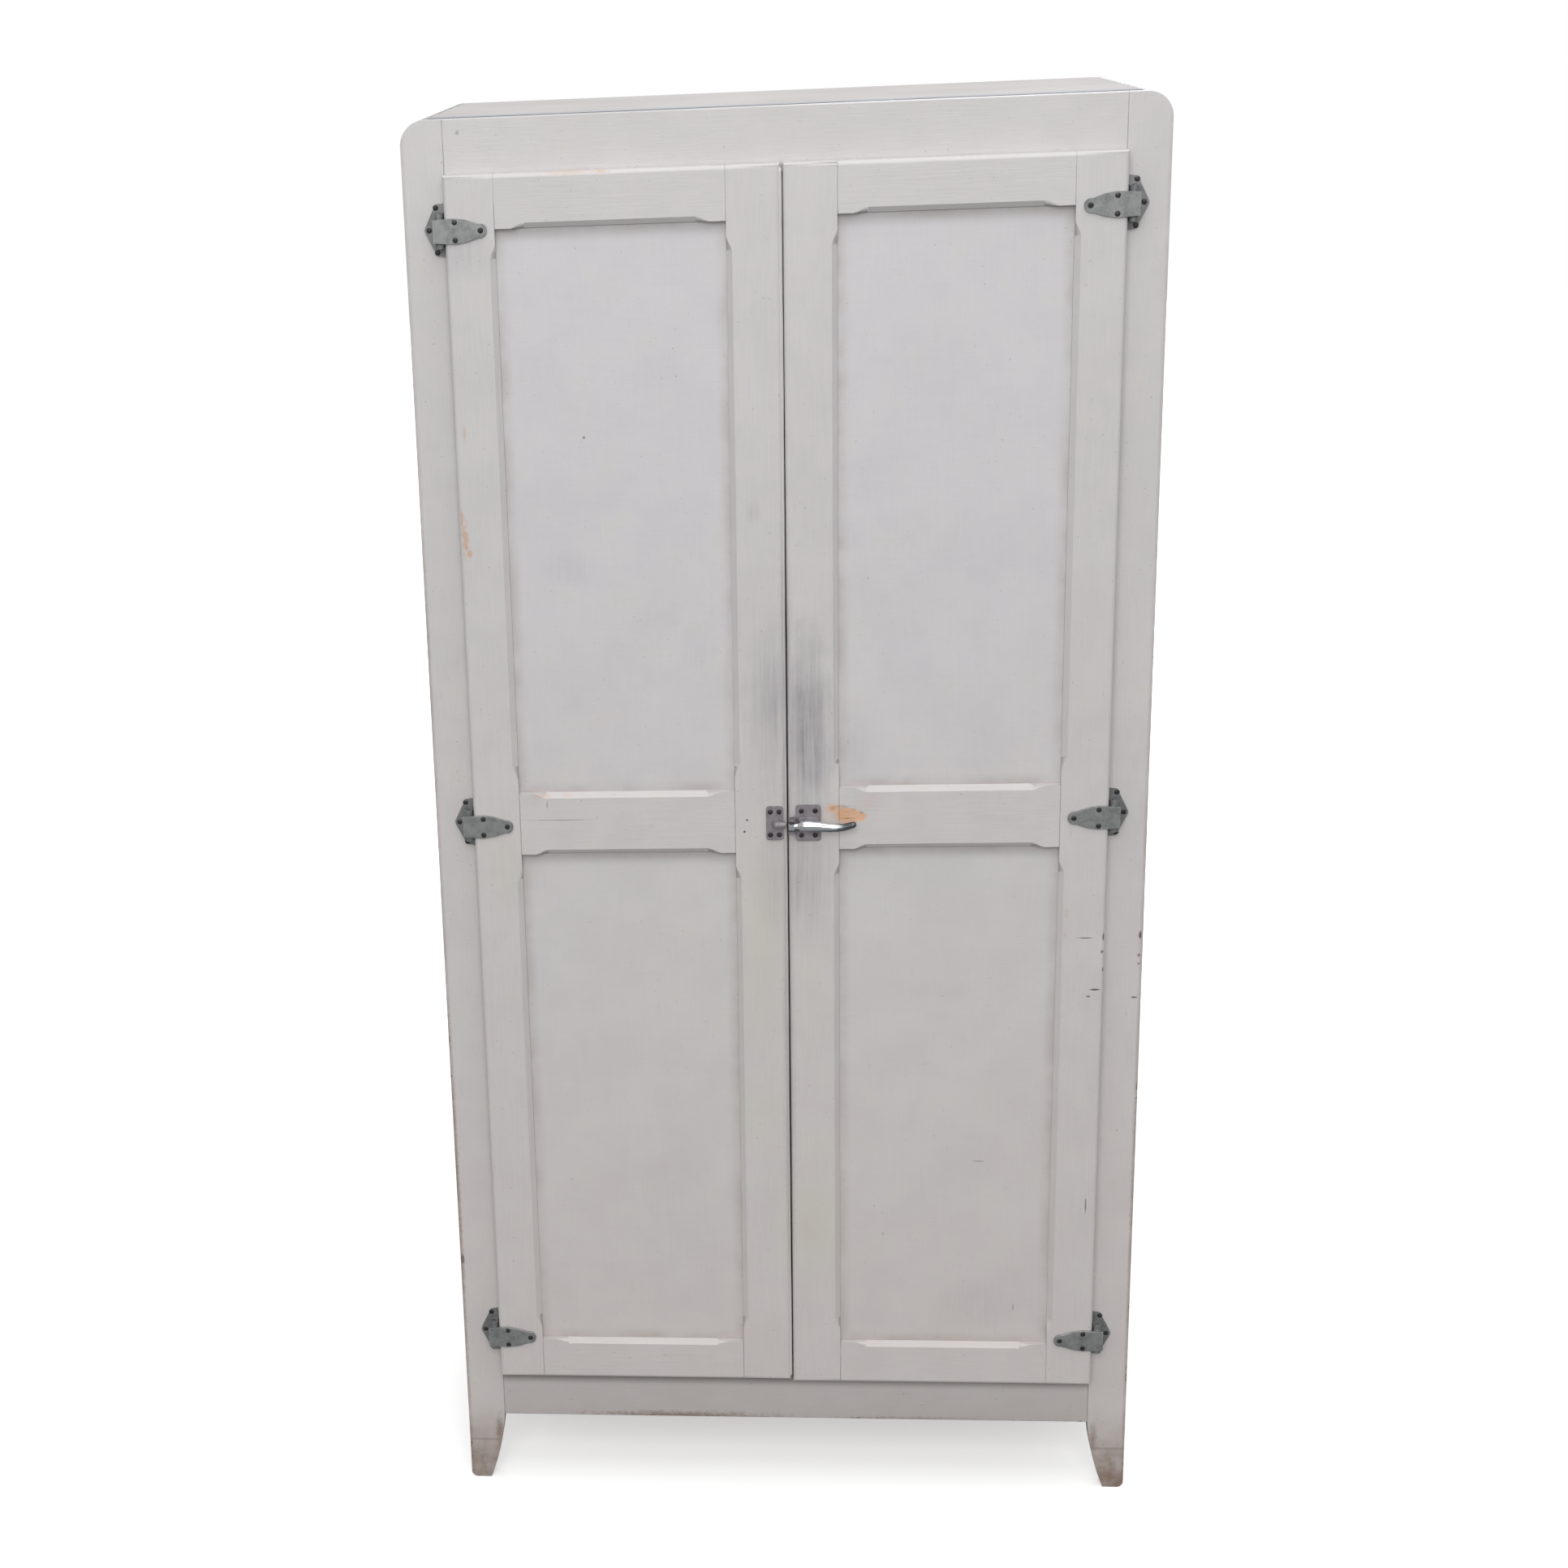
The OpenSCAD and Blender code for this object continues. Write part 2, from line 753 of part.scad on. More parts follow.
module all_door_tenons(side, fit) {
    door_tenons(door_low(side), bottom_high(), fit);
    door_tenons(mid_low(side), mid_high(side), fit);
    door_tenons(top_low(side), door_top_z, fit);
}

// Every screw hole of one door, in its true place
module door_screw_holes(side) {
    on_side(side) for (place = [BOTTOM, MID, TOP]) strap_fixings(side, place) screw_hole();
    if (side == LEFT) {
        strike_fixings() screw_hole();
        bolt_fixings() screw_hole();
    } else {
        case_fixings() screw_hole();
    }
}

module door_stile(side, x_low, x_high) {
    put_in_place() color(paint) difference() {
        on_side(side) difference() {
            intersection() {
                door_form(side);
                block([x_low, door_face_y - over, door_low(side) - over],
                      [x_high, door_back_y + over, door_top_z + over]);
            }
            door_grooves(side);
            all_door_tenons(side, wood_fit);
            door_chamfers(side);
        }
        door_screw_holes(side);
    }
}

module hinge_stile(side) door_stile(side, shoulder_out, door_out_x + over);
module meeting_stile(side) door_stile(side, door_in_x - over, shoulder_in);

module left_hinge_stile() hinge_stile(LEFT);
module right_hinge_stile() hinge_stile(RIGHT);
module left_meeting_stile() meeting_stile(LEFT);
module right_meeting_stile() meeting_stile(RIGHT);

module door_rail(side, z_low, z_high) {
    put_in_place() color(paint) difference() {
        on_side(side) difference() {
            union() {
                intersection() {
                    door_form(side);
                    block([shoulder_in, door_face_y - over, z_low],
                          [shoulder_out, door_back_y + over, z_high]);
                }
                door_tenons(z_low, z_high);
            }
            door_grooves(side);
            door_chamfers(side);
        }
        door_screw_holes(side);
    }
}

module left_door_top_rail() door_rail(LEFT, top_low(LEFT), door_top_z);
module left_door_mid_rail() door_rail(LEFT, mid_low(LEFT), mid_high(LEFT));
module left_door_bottom_rail() door_rail(LEFT, door_low(LEFT), bottom_high());
module right_door_top_rail() door_rail(RIGHT, top_low(RIGHT), door_top_z);
module right_door_mid_rail() door_rail(RIGHT, mid_low(RIGHT), mid_high(RIGHT));
module right_door_bottom_rail() door_rail(RIGHT, door_low(RIGHT), bottom_high());

module upper_panel(side) {
    put_in_place() on_side(side) color(paint) door_panel_block(mid_high(side), top_low(side));
}

module lower_panel(side) {
    put_in_place() on_side(side) color(paint) door_panel_block(bottom_high(), mid_low(side));
}

module left_upper_panel() upper_panel(LEFT);
module left_lower_panel() lower_panel(LEFT);
module right_upper_panel() upper_panel(RIGHT);
module right_lower_panel() lower_panel(RIGHT);

// ---------------------------------------------------------------- hinges

// Plate on the front stile, with two lugs that hold the pin
module frame_leaf(side, place) {
    half = leaf_h / 2;
    put_in_place() on_side(side) color(zinc) difference() {
        translate([0, 0, hinge_z(side, place)]) difference() {
            union() {
                along_y(-plate_t, 0) polygon([
                    [leaf_in_x, -half], [leaf_in_x + 10.5, 1.5 - half], [leaf_apex_x - 1, -3],
                    [leaf_apex_x, 0], [leaf_apex_x - 1, 3], [leaf_in_x + 10.5, half - 1.5],
                    [leaf_in_x, half]]);
                for (z = [-lug_z - lug_h, lug_z]) translate([0, 0, z]) linear_extrude(lug_h) {
                    translate([hinge_x, hinge_y]) circle(knuckle_r);
                    translate([hinge_x - knuckle_r, hinge_y])
                        square([2 * knuckle_r, hinge_front - plate_t / 2]);
                }
            }
            translate([hinge_x, hinge_y, -half])
                cylinder(r = pin_r + pin_fit, h = leaf_h);
        }
        leaf_fixings(side, place) screw_hole();
    }
}

module frame_leaf_left_top() frame_leaf(LEFT, TOP);
module frame_leaf_left_mid() frame_leaf(LEFT, MID);
module frame_leaf_left_bottom() frame_leaf(LEFT, BOTTOM);
module frame_leaf_right_top() frame_leaf(RIGHT, TOP);
module frame_leaf_right_mid() frame_leaf(RIGHT, MID);
module frame_leaf_right_bottom() frame_leaf(RIGHT, BOTTOM);

// Strap on the door's face, with the knuckle that turns between the lugs
module strap(side, place) {
    tip_x = door_out_x - strap_l + strap_tip_r;
    neck = strap_tip_r - 0.15;
    belly_x = (strap_wide_x + tip_x) / 2;
    belly = (strap_half + strap_tip_r) / 2 + 0.9;
    put_in_place() on_side(side) color(zinc) difference() {
        translate([0, 0, hinge_z(side, place)]) difference() {
            union() {
                along_y(door_face_y - plate_t, door_face_y) {
                    polygon([[strap_end_x, -13], [strap_end_x, 13], [strap_wide_x, strap_half],
                             [belly_x, belly], [tip_x + 1.5, neck], [tip_x + 1.5, -neck],
                             [belly_x, -belly], [strap_wide_x, -strap_half]]);
                    translate([tip_x, 0]) circle(strap_tip_r);
                }
                translate([hinge_x, hinge_y, -knuckle_half])
                    cylinder(r = knuckle_r, h = 2 * knuckle_half);
                block([hinge_x - knuckle_r + 1, door_face_y - 1, -13],
                      [hinge_x + knuckle_r - 1, hinge_y - 1, 13]);
            }
            translate([hinge_x, hinge_y, -leaf_h / 2])
                cylinder(r = pin_r + pin_fit, h = leaf_h);
        }
        strap_fixings(side, place) screw_hole();
    }
}

module strap_left_top() strap(LEFT, TOP);
module strap_left_mid() strap(LEFT, MID);
module strap_left_bottom() strap(LEFT, BOTTOM);
module strap_right_top() strap(RIGHT, TOP);
module strap_right_mid() strap(RIGHT, MID);
module strap_right_bottom() strap(RIGHT, BOTTOM);

// Pin with a domed head at each end, outside the lugs
module hinge_pin() {
    end = lug_z + lug_h;
    translate([0, 0, -end]) cylinder(r = pin_r, h = 2 * end);
    for (flip = [0, 180]) rotate([flip, 0, 0]) translate([0, 0, end])
        cylinder(r1 = pin_r + 1, r2 = pin_r - 0.4, h = 1.3);
}

module hinge_pins() {
    put_in_place() color(dark_steel) for (side = [LEFT, RIGHT], place = [BOTTOM, MID, TOP]) {
        on_side(side) translate([hinge_x, hinge_y, hinge_z(side, place)]) hinge_pin();
    }
}

module frame_screws() {
    put_in_place() color(dark_steel) for (side = [LEFT, RIGHT], place = [BOTTOM, MID, TOP]) {
        on_side(side) leaf_fixings(side, place) screw();
    }
}

module left_door_screws() {
    put_in_place() color(dark_steel) {
        for (place = [BOTTOM, MID, TOP]) on_side(LEFT) strap_fixings(LEFT, place) screw();
        strike_fixings() screw();
        bolt_fixings() screw(length = screw_l - 4);
    }
}

module right_door_screws() {
    put_in_place() color(dark_steel) {
        for (place = [BOTTOM, MID, TOP]) strap_fixings(RIGHT, place) screw();
        case_fixings() screw();
    }
}

// ---------------------------------------------------------------- latch

// Plate with a low raised pad and two ears that reach out to the lever's pin
module latch_case() {
    pad_h = lever_stand - lever_r - plate_t - 0.75;
    web_x = case_x + 4;
    put_in_place() color(zinc) difference() {
        union() {
            along_y(door_face_y - plate_t, door_face_y)
                translate([case_x + case_w / 2, latch_z]) round_plate(case_w, case_h, 4);
            along_y(door_face_y - plate_t - pad_h, door_face_y - plate_t / 2)
                translate([case_x + case_w / 2, latch_z]) round_plate(case_w - 6, 18, 3);
            for (z = [-ear_low - ear_t, ear_low]) translate([0, 0, latch_z + z])
                linear_extrude(ear_t) {
                    translate([latch_pin_x, lever_y]) circle(barrel_r);
                    polygon([[latch_pin_x - barrel_r, lever_y], [latch_pin_x + barrel_r, lever_y],
                             [web_x, lever_y + 7], [web_x, door_face_y - plate_t / 2],
                             [case_x + 0.5, door_face_y - plate_t / 2]]);
                }
        }
        translate([latch_pin_x, lever_y, latch_z - case_h / 2])
            cylinder(r = latch_pin_r + pin_fit, h = case_h);
        case_fixings() screw_hole();
    }
}

module latch_pin() {
    end = ear_low + ear_t;
    put_in_place() color(dark_steel) translate([latch_pin_x, lever_y, latch_z]) {
        translate([0, 0, -end]) cylinder(r = latch_pin_r, h = 2 * end);
        for (flip = [0, 180]) rotate([flip, 0, 0]) translate([0, 0, end])
            cylinder(r1 = latch_pin_r + 1.2, r2 = latch_pin_r, h = 1.2);
    }
}

// Barrel on the pin, a neck, a tapering arm and a tip that turns up
module latch_lever() {
    bend_x = lever_l - 15;
    bend_r = lever_r - 2.4;
    tip_r = 3.8;
    // From inside the arm's end to the tip's end
    tip_run = [17, -3, 5.5];
    tip_l = norm(tip_run);
    arm = [[0, 0], [3.8, 0], [4, 8], [lever_r - 0.6, 12], [lever_r, 17], [lever_r - 0.3, 30],
           [lever_r - 1.4, 48], [bend_r, bend_x], [bend_r - 1.2, bend_x + 3], [0, bend_x + 4]];
    tip = [[0, 0], [tip_r + 0.2, 0], [tip_r, tip_l - 3], [tip_r - 1.2, tip_l - 0.8], [0, tip_l]];
    put_in_place() color(bright) translate([latch_pin_x, lever_y, latch_z]) difference() {
        union() {
            translate([0, 0, -barrel_half])
                cylinder(r = barrel_r, h = 2 * barrel_half - spring_h - play);
            rotate([0, 90, 0]) rotate_extrude() polygon(arm);
            translate([bend_x - 3, 0, 0])
                rotate([0, acos(tip_run[2] / tip_l), atan2(tip_run[1], tip_run[0])])
                rotate_extrude() polygon(tip);
        }
        translate([0, 0, barrel_half - spring_h - play])
            cylinder(r = barrel_r + play, h = lever_r + over);
        translate([0, 0, -lever_r - over])
            cylinder(r = latch_pin_r + pin_fit, h = 2 * lever_r + 2 * over);
    }
}

// Coiled torsion spring above the lever's barrel, as one closed ring
module latch_spring() {
    put_in_place() color(dark_steel)
        translate([latch_pin_x, lever_y, latch_z + barrel_half - spring_h]) difference() {
            cylinder(r = barrel_r - 0.5, h = spring_h);
            translate([0, 0, -over]) cylinder(r = latch_pin_r + play, h = spring_h + 2 * over);
        }
}

// Plate on the left door, with a boss and a tapering nose that points at the lever
module strike_plate() {
    nose_l = 12;
    nose_r = 5;
    boss_x = -nose_tip_x - nose_l;
    nose_y = door_face_y - 8.5;
    nose = [[0, -nose_r], [nose_r * 0.55, -nose_r * 0.84], [nose_r * 0.87, -nose_r * 0.5],
            [nose_r, 0], [3, nose_l - 1], [2, nose_l], [0, nose_l]];
    put_in_place() color(zinc) difference() {
        union() {
            along_y(door_face_y - plate_t, door_face_y)
                translate([-strike_x + strike_w / 2, latch_z]) round_plate(strike_w, strike_h, 4);
            translate([boss_x, door_face_y - plate_t / 2, latch_z]) rotate([90, 0, 0])
                cylinder(r1 = nose_r + 2, r2 = nose_r - 0.5, h = 8.5 - plate_t / 2);
            translate([boss_x, nose_y, latch_z]) rotate([0, 90, 0])
                rotate_extrude() polygon(nose);
        }
        strike_fixings() screw_hole();
    }
}

// ---------------------------------------------------------------- slide bolt

module rod_bore(fit = 0) {
    translate([-bolt_x, bolt_y, rod_low - 20]) cylinder(r = rod_r + fit, h = body_h);
}

module bolt_plate() {
    put_in_place() color(zinc) difference() {
        union() {
            along_y(door_back_y, door_back_y + bolt_plate_t)
                translate([-bolt_x, (bolt_plate_low + bolt_plate_top) / 2])
                round_plate(bolt_plate_w, bolt_plate_h, 3);
            for (z = guide_zs)
                block([-bolt_x - guide_half, door_back_y + bolt_plate_t / 2, z],
                      [-bolt_x + guide_half, bolt_y + guide_half - 2, z + guide_h]);
        }
        rod_bore(pin_fit);
        bolt_fixings() screw_hole();
    }
}

module bolt_rod() {
    put_in_place() color(bright) {
        translate([-bolt_x, bolt_y, rod_low])
            cylinder(r = rod_r, h = rod_top - rod_low - 1.5);
        translate([-bolt_x, bolt_y, rod_top - 1.5])
            cylinder(r1 = rod_r, r2 = rod_r - 1.5, h = 1.5);
        translate([-bolt_x, bolt_y, knob_z]) rotate([-90, 0, 0]) {
            cylinder(r = 2.5, h = 10);
            translate([0, 0, 8]) cylinder(r1 = 4, r2 = 5, h = 3);
            translate([0, 0, 11]) cylinder(r1 = 5, r2 = 3.5, h = 2);
        }
    }
}

front_stile_left();
front_stile_right();
front_top_rail();
front_bottom_rail();
rear_post_left();
rear_post_right();
side_top_rail_left();
side_top_rail_right();
side_bottom_rail_left();
side_bottom_rail_right();
side_panel_left();
side_panel_right();
top_panel();
back_top_rail();
back_bottom_rail();
back_boards();
back_nails();
bottom_board();
shelf_1();
shelf_2();
shelf_3();
shelf_4();
shelf_cleats();
left_hinge_stile();
left_meeting_stile();
left_door_top_rail();
left_door_mid_rail();
left_door_bottom_rail();
left_upper_panel();
left_lower_panel();
right_hinge_stile();
right_meeting_stile();
right_door_top_rail();
right_door_mid_rail();
right_door_bottom_rail();
right_upper_panel();
right_lower_panel();
frame_leaf_left_top();
frame_leaf_left_mid();
frame_leaf_left_bottom();
frame_leaf_right_top();
frame_leaf_right_mid();
frame_leaf_right_bottom();
strap_left_top();
strap_left_mid();
strap_left_bottom();
strap_right_top();
strap_right_mid();
strap_right_bottom();
hinge_pins();
frame_screws();
left_door_screws();
right_door_screws();
latch_case();
latch_pin();
latch_lever();
latch_spring();
strike_plate();
bolt_plate();
bolt_rod();
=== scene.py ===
"""Pantry cabinet: softened woodwork, old gloss paint, hardware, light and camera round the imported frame."""

import json
import math

import bmesh
import bpy
import numpy as np
from mathutils import Matrix, Vector


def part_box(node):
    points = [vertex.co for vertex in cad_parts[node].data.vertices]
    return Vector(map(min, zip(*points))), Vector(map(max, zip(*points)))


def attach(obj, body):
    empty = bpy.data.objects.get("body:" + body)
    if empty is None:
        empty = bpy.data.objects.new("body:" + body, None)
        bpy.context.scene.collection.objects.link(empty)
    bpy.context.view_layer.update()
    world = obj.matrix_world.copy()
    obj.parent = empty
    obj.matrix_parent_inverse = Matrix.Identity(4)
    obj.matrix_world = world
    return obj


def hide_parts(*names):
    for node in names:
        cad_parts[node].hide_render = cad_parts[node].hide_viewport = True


bl_info = {
    "name": "Pantry Cabinet",
    "version": (1, 0, 0),
    "blender": (4, 5, 0),
    "location": "3D View > Sidebar > Pantry",
    "description": "Painted two-door pantry cabinet with worn gloss paint and surface hardware",
    "category": "Object",
}

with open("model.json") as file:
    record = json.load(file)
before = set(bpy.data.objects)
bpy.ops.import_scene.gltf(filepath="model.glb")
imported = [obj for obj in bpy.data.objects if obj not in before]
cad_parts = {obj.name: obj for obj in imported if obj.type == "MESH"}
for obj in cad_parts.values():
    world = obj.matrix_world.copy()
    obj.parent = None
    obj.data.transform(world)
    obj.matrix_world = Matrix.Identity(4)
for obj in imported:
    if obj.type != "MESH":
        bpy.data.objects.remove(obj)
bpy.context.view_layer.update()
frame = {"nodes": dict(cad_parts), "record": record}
NODES = frame["nodes"]
BODY_OF = {
    node: body
    for body, members in frame["record"]["behaviour"]["bodies"].items()
    for node in members
}

LOW, HIGH = 0, 1
X, Y, Z = 0, 1, 2


def tone(red, green, blue):
    """A display colour in 0 to 255, as the linear colour that the shader takes."""
    shares = np.array([red, green, blue]) / 255.0
    return tuple(float(v) for v in np.where(shares <= 0.04045, shares / 12.92,
        ((shares + 0.055) / 1.055) ** 2.4))


def colour_setting(name, description, shade):
    return bpy.props.FloatVectorProperty(
        name=name, description=description, subtype="COLOR", size=3, min=0.0, max=1.0, default=tone(*shade)
    )


def length_setting(name, description, default, low=0.0, high=1.0):
    return bpy.props.FloatProperty(
        name=name, description=description, default=default, min=low, max=high, unit="LENGTH", precision=5
    )


def share_setting(name, description, default):
    return bpy.props.FloatProperty(
        name=name, description=description, default=default, min=0.0, max=1.0, subtype="FACTOR"
    )


# ------------------------------------------------------------------ settings


class PANTRY_PG_paint(bpy.types.PropertyGroup):
    """Colours and wear of the woodwork."""

    coat: colour_setting("Paint", "Gloss paint high up, where it stayed clean", (206, 204, 206))
    warm_coat: colour_setting("Warm paint", "Paint of stiles and rails, creamier than the panels",
        (203, 200, 200))
    low_coat: colour_setting("Low paint", "Gloss paint near the floor, greyed by years of mopping",
        (207, 201, 199))
    yellowed: colour_setting("Yellowed paint", "Paint gone yellow where hands touch it", (202, 199, 183))
    grime: colour_setting("Grime", "Greasy dirt beside the latch", (110, 108, 117))
    undercoat: colour_setting("Undercoat", "Undercoat and wood that worn edges show", (202, 162, 132))
    chipped: colour_setting("Chipped wood", "Fresh wood in the deepest chips", (226, 174, 130))
    worn: colour_setting("Brown wear", "Old wear on feet and low edges", (132, 108, 92))
    seam: colour_setting("Seam", "Dark line where two boards meet", (104, 112, 118))
    inside: colour_setting("Bare wood", "Unpainted softwood inside", (184, 152, 114))
    inside_dark: colour_setting("Bare wood grain", "Late wood of the unpainted boards", (146, 110, 76))
    gloss: share_setting("Roughness", "Roughness of the clean gloss paint", 0.42)
    soften: length_setting("Edge softening", "Rounding that paint gives to a board's edges", 0.0007,
        0.0001, 0.003)


class PANTRY_PG_metal(bpy.types.PropertyGroup):
    """Finishes of the hardware."""

    zinc: colour_setting("Zinc", "Dull plate of hinges and latch", (152, 154, 153))
    zinc_dark: colour_setting("Tarnish", "Dark tarnish on the plates", (112, 114, 116))
    latch: colour_setting("Latch plate", "Plates of the latch, with a purplish grey tarnish",
        (156, 150, 154))
    latch_dark: colour_setting("Latch tarnish", "Darkest tarnish on the latch plates", (122, 114, 120))
    screw: colour_setting("Screws", "Oxidised screws, nails and pins", (66, 62, 64))
    chrome: colour_setting("Chrome", "Plating of the lever", (224, 228, 232))
    chrome_worn: colour_setting("Worn chrome", "Lever's tip, where the plating has gone", (104, 108, 108))
    bolt: colour_setting("Bolt", "Drawn steel of the slide bolt", (158, 160, 162))


class PANTRY_PG_stage(bpy.types.PropertyGroup):
    """Floor, light and camera."""

    floor: colour_setting("Floor", "Pale studio floor", (244, 244, 244))
    bounce: colour_setting("Floor bounce", "Floor colour as it lights the cabinet from below",
        (150, 150, 150))
    lift: share_setting("Floor lift", "Glow that keeps the floor's shadows pale", 0.45)
    surround: share_setting("Surround", "Strength of the white surround", 0.50)
    key_power: bpy.props.FloatProperty(name="Key", description="Power of the big front softbox",
        default=168.0, min=0.0)
    top_power: bpy.props.FloatProperty(name="Top", description="Power of the softbox overhead",
        default=38.0, min=0.0)
    fill_power: bpy.props.FloatProperty(name="Fill", description="Power of the back fill", default=40.0,
        min=0.0)
    eye: bpy.props.FloatVectorProperty(
        name="Camera", description="Where the camera stands", subtype="TRANSLATION", unit="LENGTH", size=3,
        default=(-0.0286, -3.0318, 1.8789),
    )
    yaw: bpy.props.FloatProperty(
        name="Turn", description="Camera's turn to the left", subtype="ANGLE", default=math.radians(6.335)
    )
    pitch: bpy.props.FloatProperty(
        name="Dip", description="Camera's dip below the horizon", subtype="ANGLE",
            default=math.radians(17.623)
    )
    roll: bpy.props.FloatProperty(
        name="Tilt", description="Camera's tilt to the left", subtype="ANGLE", default=math.radians(2.635)
    )
    lens: bpy.props.FloatProperty(name="Lens", description="Focal length in millimetres", default=56.83,
        min=10.0)
    shift: bpy.props.FloatVectorProperty(
        name="Shift", description="Lens shift, in shares of the frame", size=2, default=(0.1806, -0.0007)
    )


# ------------------------------------------------------------- shader helpers


class Tree:
    """One node tree being wired. Each method adds a node, joins what it is given and returns its output."""

    def __init__(self, tree):
        self.tree = tree

    def add(self, kind, **settings):
        node = self.tree.nodes.new(kind)
        for key, value in settings.items():
            setattr(node, key, value)
        return node

    def feed(self, socket, source):
        if isinstance(source, bpy.types.NodeSocket):
            self.tree.links.new(source, socket)
        elif socket.type == "RGBA" and len(source) == 3:
            socket.default_value = (*source, 1.0)
        else:
            socket.default_value = source

    def math(self, operation, first, second=0.0, clamp=False):
        node = self.add("ShaderNodeMath", operation=operation, use_clamp=clamp)
        self.feed(node.inputs[0], first)
        self.feed(node.inputs[1], second)
        return node.outputs[0]

    def times(self, first, second):
        return self.math("MULTIPLY", first, second)

    def plus(self, first, second, clamp=False):
        return self.math("ADD", first, second, clamp)

    def minus(self, first, second, clamp=False):
        return self.math("SUBTRACT", first, second, clamp)

    def vector(self, operation, first, second=(0.0, 0.0, 0.0)):
        node = self.add("ShaderNodeVectorMath", operation=operation)
        self.feed(node.inputs[0], first)
        self.feed(node.inputs[1], second)
        return node.outputs["Value" if operation in ("LENGTH", "DOT_PRODUCT", "DISTANCE") else "Vector"]

    def parts(self, vector):
        node = self.add("ShaderNodeSeparateXYZ")
        self.feed(node.inputs[0], vector)
        return node.outputs

    def joined(self, *parts):
        node = self.add("ShaderNodeCombineXYZ")
        for socket, part in zip(node.inputs, parts):
            self.feed(socket, part)
        return node.outputs[0]

    def mix(self, share, first, second, blend="MIX"):
        node = self.add("ShaderNodeMix", data_type="RGBA", blend_type=blend)
        self.feed(node.inputs[0], share)
        self.feed(node.inputs[6], first)
        self.feed(node.inputs[7], second)
        return node.outputs[2]

    def between(self, share, first, second):
        node = self.add("ShaderNodeMix", data_type="FLOAT")
        self.feed(node.inputs[0], share)
        self.feed(node.inputs[2], first)
        self.feed(node.inputs[3], second)
        return node.outputs[0]

    def ramp(self, value, start, end, low=0.0, high=1.0):
        node = self.add("ShaderNodeMapRange", interpolation_type="SMOOTHSTEP")
        for name, part in (("Value", value), ("From Min", start), ("From Max", end), ("To Min", low),
            ("To Max", high)):
            self.feed(node.inputs[name], part)
        return node.outputs[0]

    def noise(self, place, scale, detail=3.0, rough=0.55, stretch=(1.0, 1.0, 1.0)):
        node = self.add("ShaderNodeTexNoise")
        if stretch != (1.0, 1.0, 1.0):
            place = self.vector("MULTIPLY", place, stretch)
        self.feed(node.inputs["Vector"], place)
        self.feed(node.inputs["Scale"], scale)
        self.feed(node.inputs["Detail"], detail)
        self.feed(node.inputs["Roughness"], rough)
        return node.outputs[0]

    def place(self):
        return self.add("ShaderNodeTexCoord").outputs["Object"]

    def attribute(self, name, output="Vector"):
        return self.add("ShaderNodeAttribute", attribute_name=name).outputs[output]

    def group(self, tree, **given):
        node = self.add("ShaderNodeGroup", node_tree=tree)
        for name, value in given.items():
            self.feed(node.inputs[name.replace("_", " ")], value)
        return node.outputs


SOCKETS = {"float": "NodeSocketFloat", "vector": "NodeSocketVector", "colour": "NodeSocketColor"}
SURFACE = [("Color", "colour"), ("Roughness", "float"), ("Height", "float")]


def shader_group(name, inputs, outputs):
    """An empty node group with named inputs and outputs, as (group, its wiring, its inputs, its output
    sockets)."""
    tree = bpy.data.node_groups.new(name, "ShaderNodeTree")
    for label, kind in inputs:
        tree.interface.new_socket(name=label, in_out="INPUT", socket_type=SOCKETS[kind])
    for label, kind in outputs:
        tree.interface.new_socket(name=label, in_out="OUTPUT", socket_type=SOCKETS[kind])
    wiring = Tree(tree)
    return tree, wiring, wiring.add("NodeGroupInput").outputs, wiring.add("NodeGroupOutput").inputs


def once(maker):
    """Keeps the first result of a maker without arguments, so that a group is built once."""
    kept = []

    def made():
        if not kept:
            kept.append(maker())
        return kept[0]

    return made


@once
def board_place():
    """Where a point lies on its board: place with Z along the grain, distance to the nearest edge and
    to the ends."""
    tree, t, _, out = shader_group("board place", [],
        [("Place", "vector"), ("Edge", "float"), ("End", "float")])
    here = t.place()
    low, high = t.attribute("board_low"), t.attribute("board_high")
    turn = t.attribute("board_turn", "Fac")
    near = t.vector("MINIMUM", t.vector("SUBTRACT", here, low), t.vector("SUBTRACT", high, here))
    a, b, c = t.parts(near)
    smallest = t.math("MINIMUM", t.math("MINIMUM", a, b), c)
    largest = t.math("MAXIMUM", t.math("MAXIMUM", a, b), c)
    total = t.plus(t.plus(a, b), c)
    t.feed(out["Edge"], t.minus(t.minus(total, smallest), largest))
    t.feed(out["End"], t.between(turn, c, a))
    px, py, pz = t.parts(here)
    along = t.joined(t.between(turn, px, pz), py, t.between(turn, pz, px))
    t.feed(out["Place"], t.vector("ADD", along, t.vector("MULTIPLY", low, (7.0, 3.0, 5.0))))
    return tree


@once
def ragged_spot():
    """A spot with a ragged rim: full inside the ellipsoid at Centre with half sizes Size, fading over
    Softness."""
    tree, t, given, out = shader_group(
        "ragged spot",
        [("Centre", "vector"), ("Size", "vector"), ("Softness", "float"), ("Ragged", "float"),
            ("Noise", "float"),
         ("Strength", "float")],
        [("Mask", "float")],
    )
    away = t.vector("DIVIDE", t.vector("SUBTRACT", t.place(), given["Centre"]), given["Size"])
    rim = t.times(t.minus(given["Noise"], 0.5), t.times(given["Ragged"], 2.0))
    inside = t.plus(t.minus(1.0, t.vector("LENGTH", away)), rim)
    mask = t.math("DIVIDE", inside, given["Softness"], clamp=True)
    t.feed(out["Mask"], t.times(mask, given["Strength"]))
    return tree


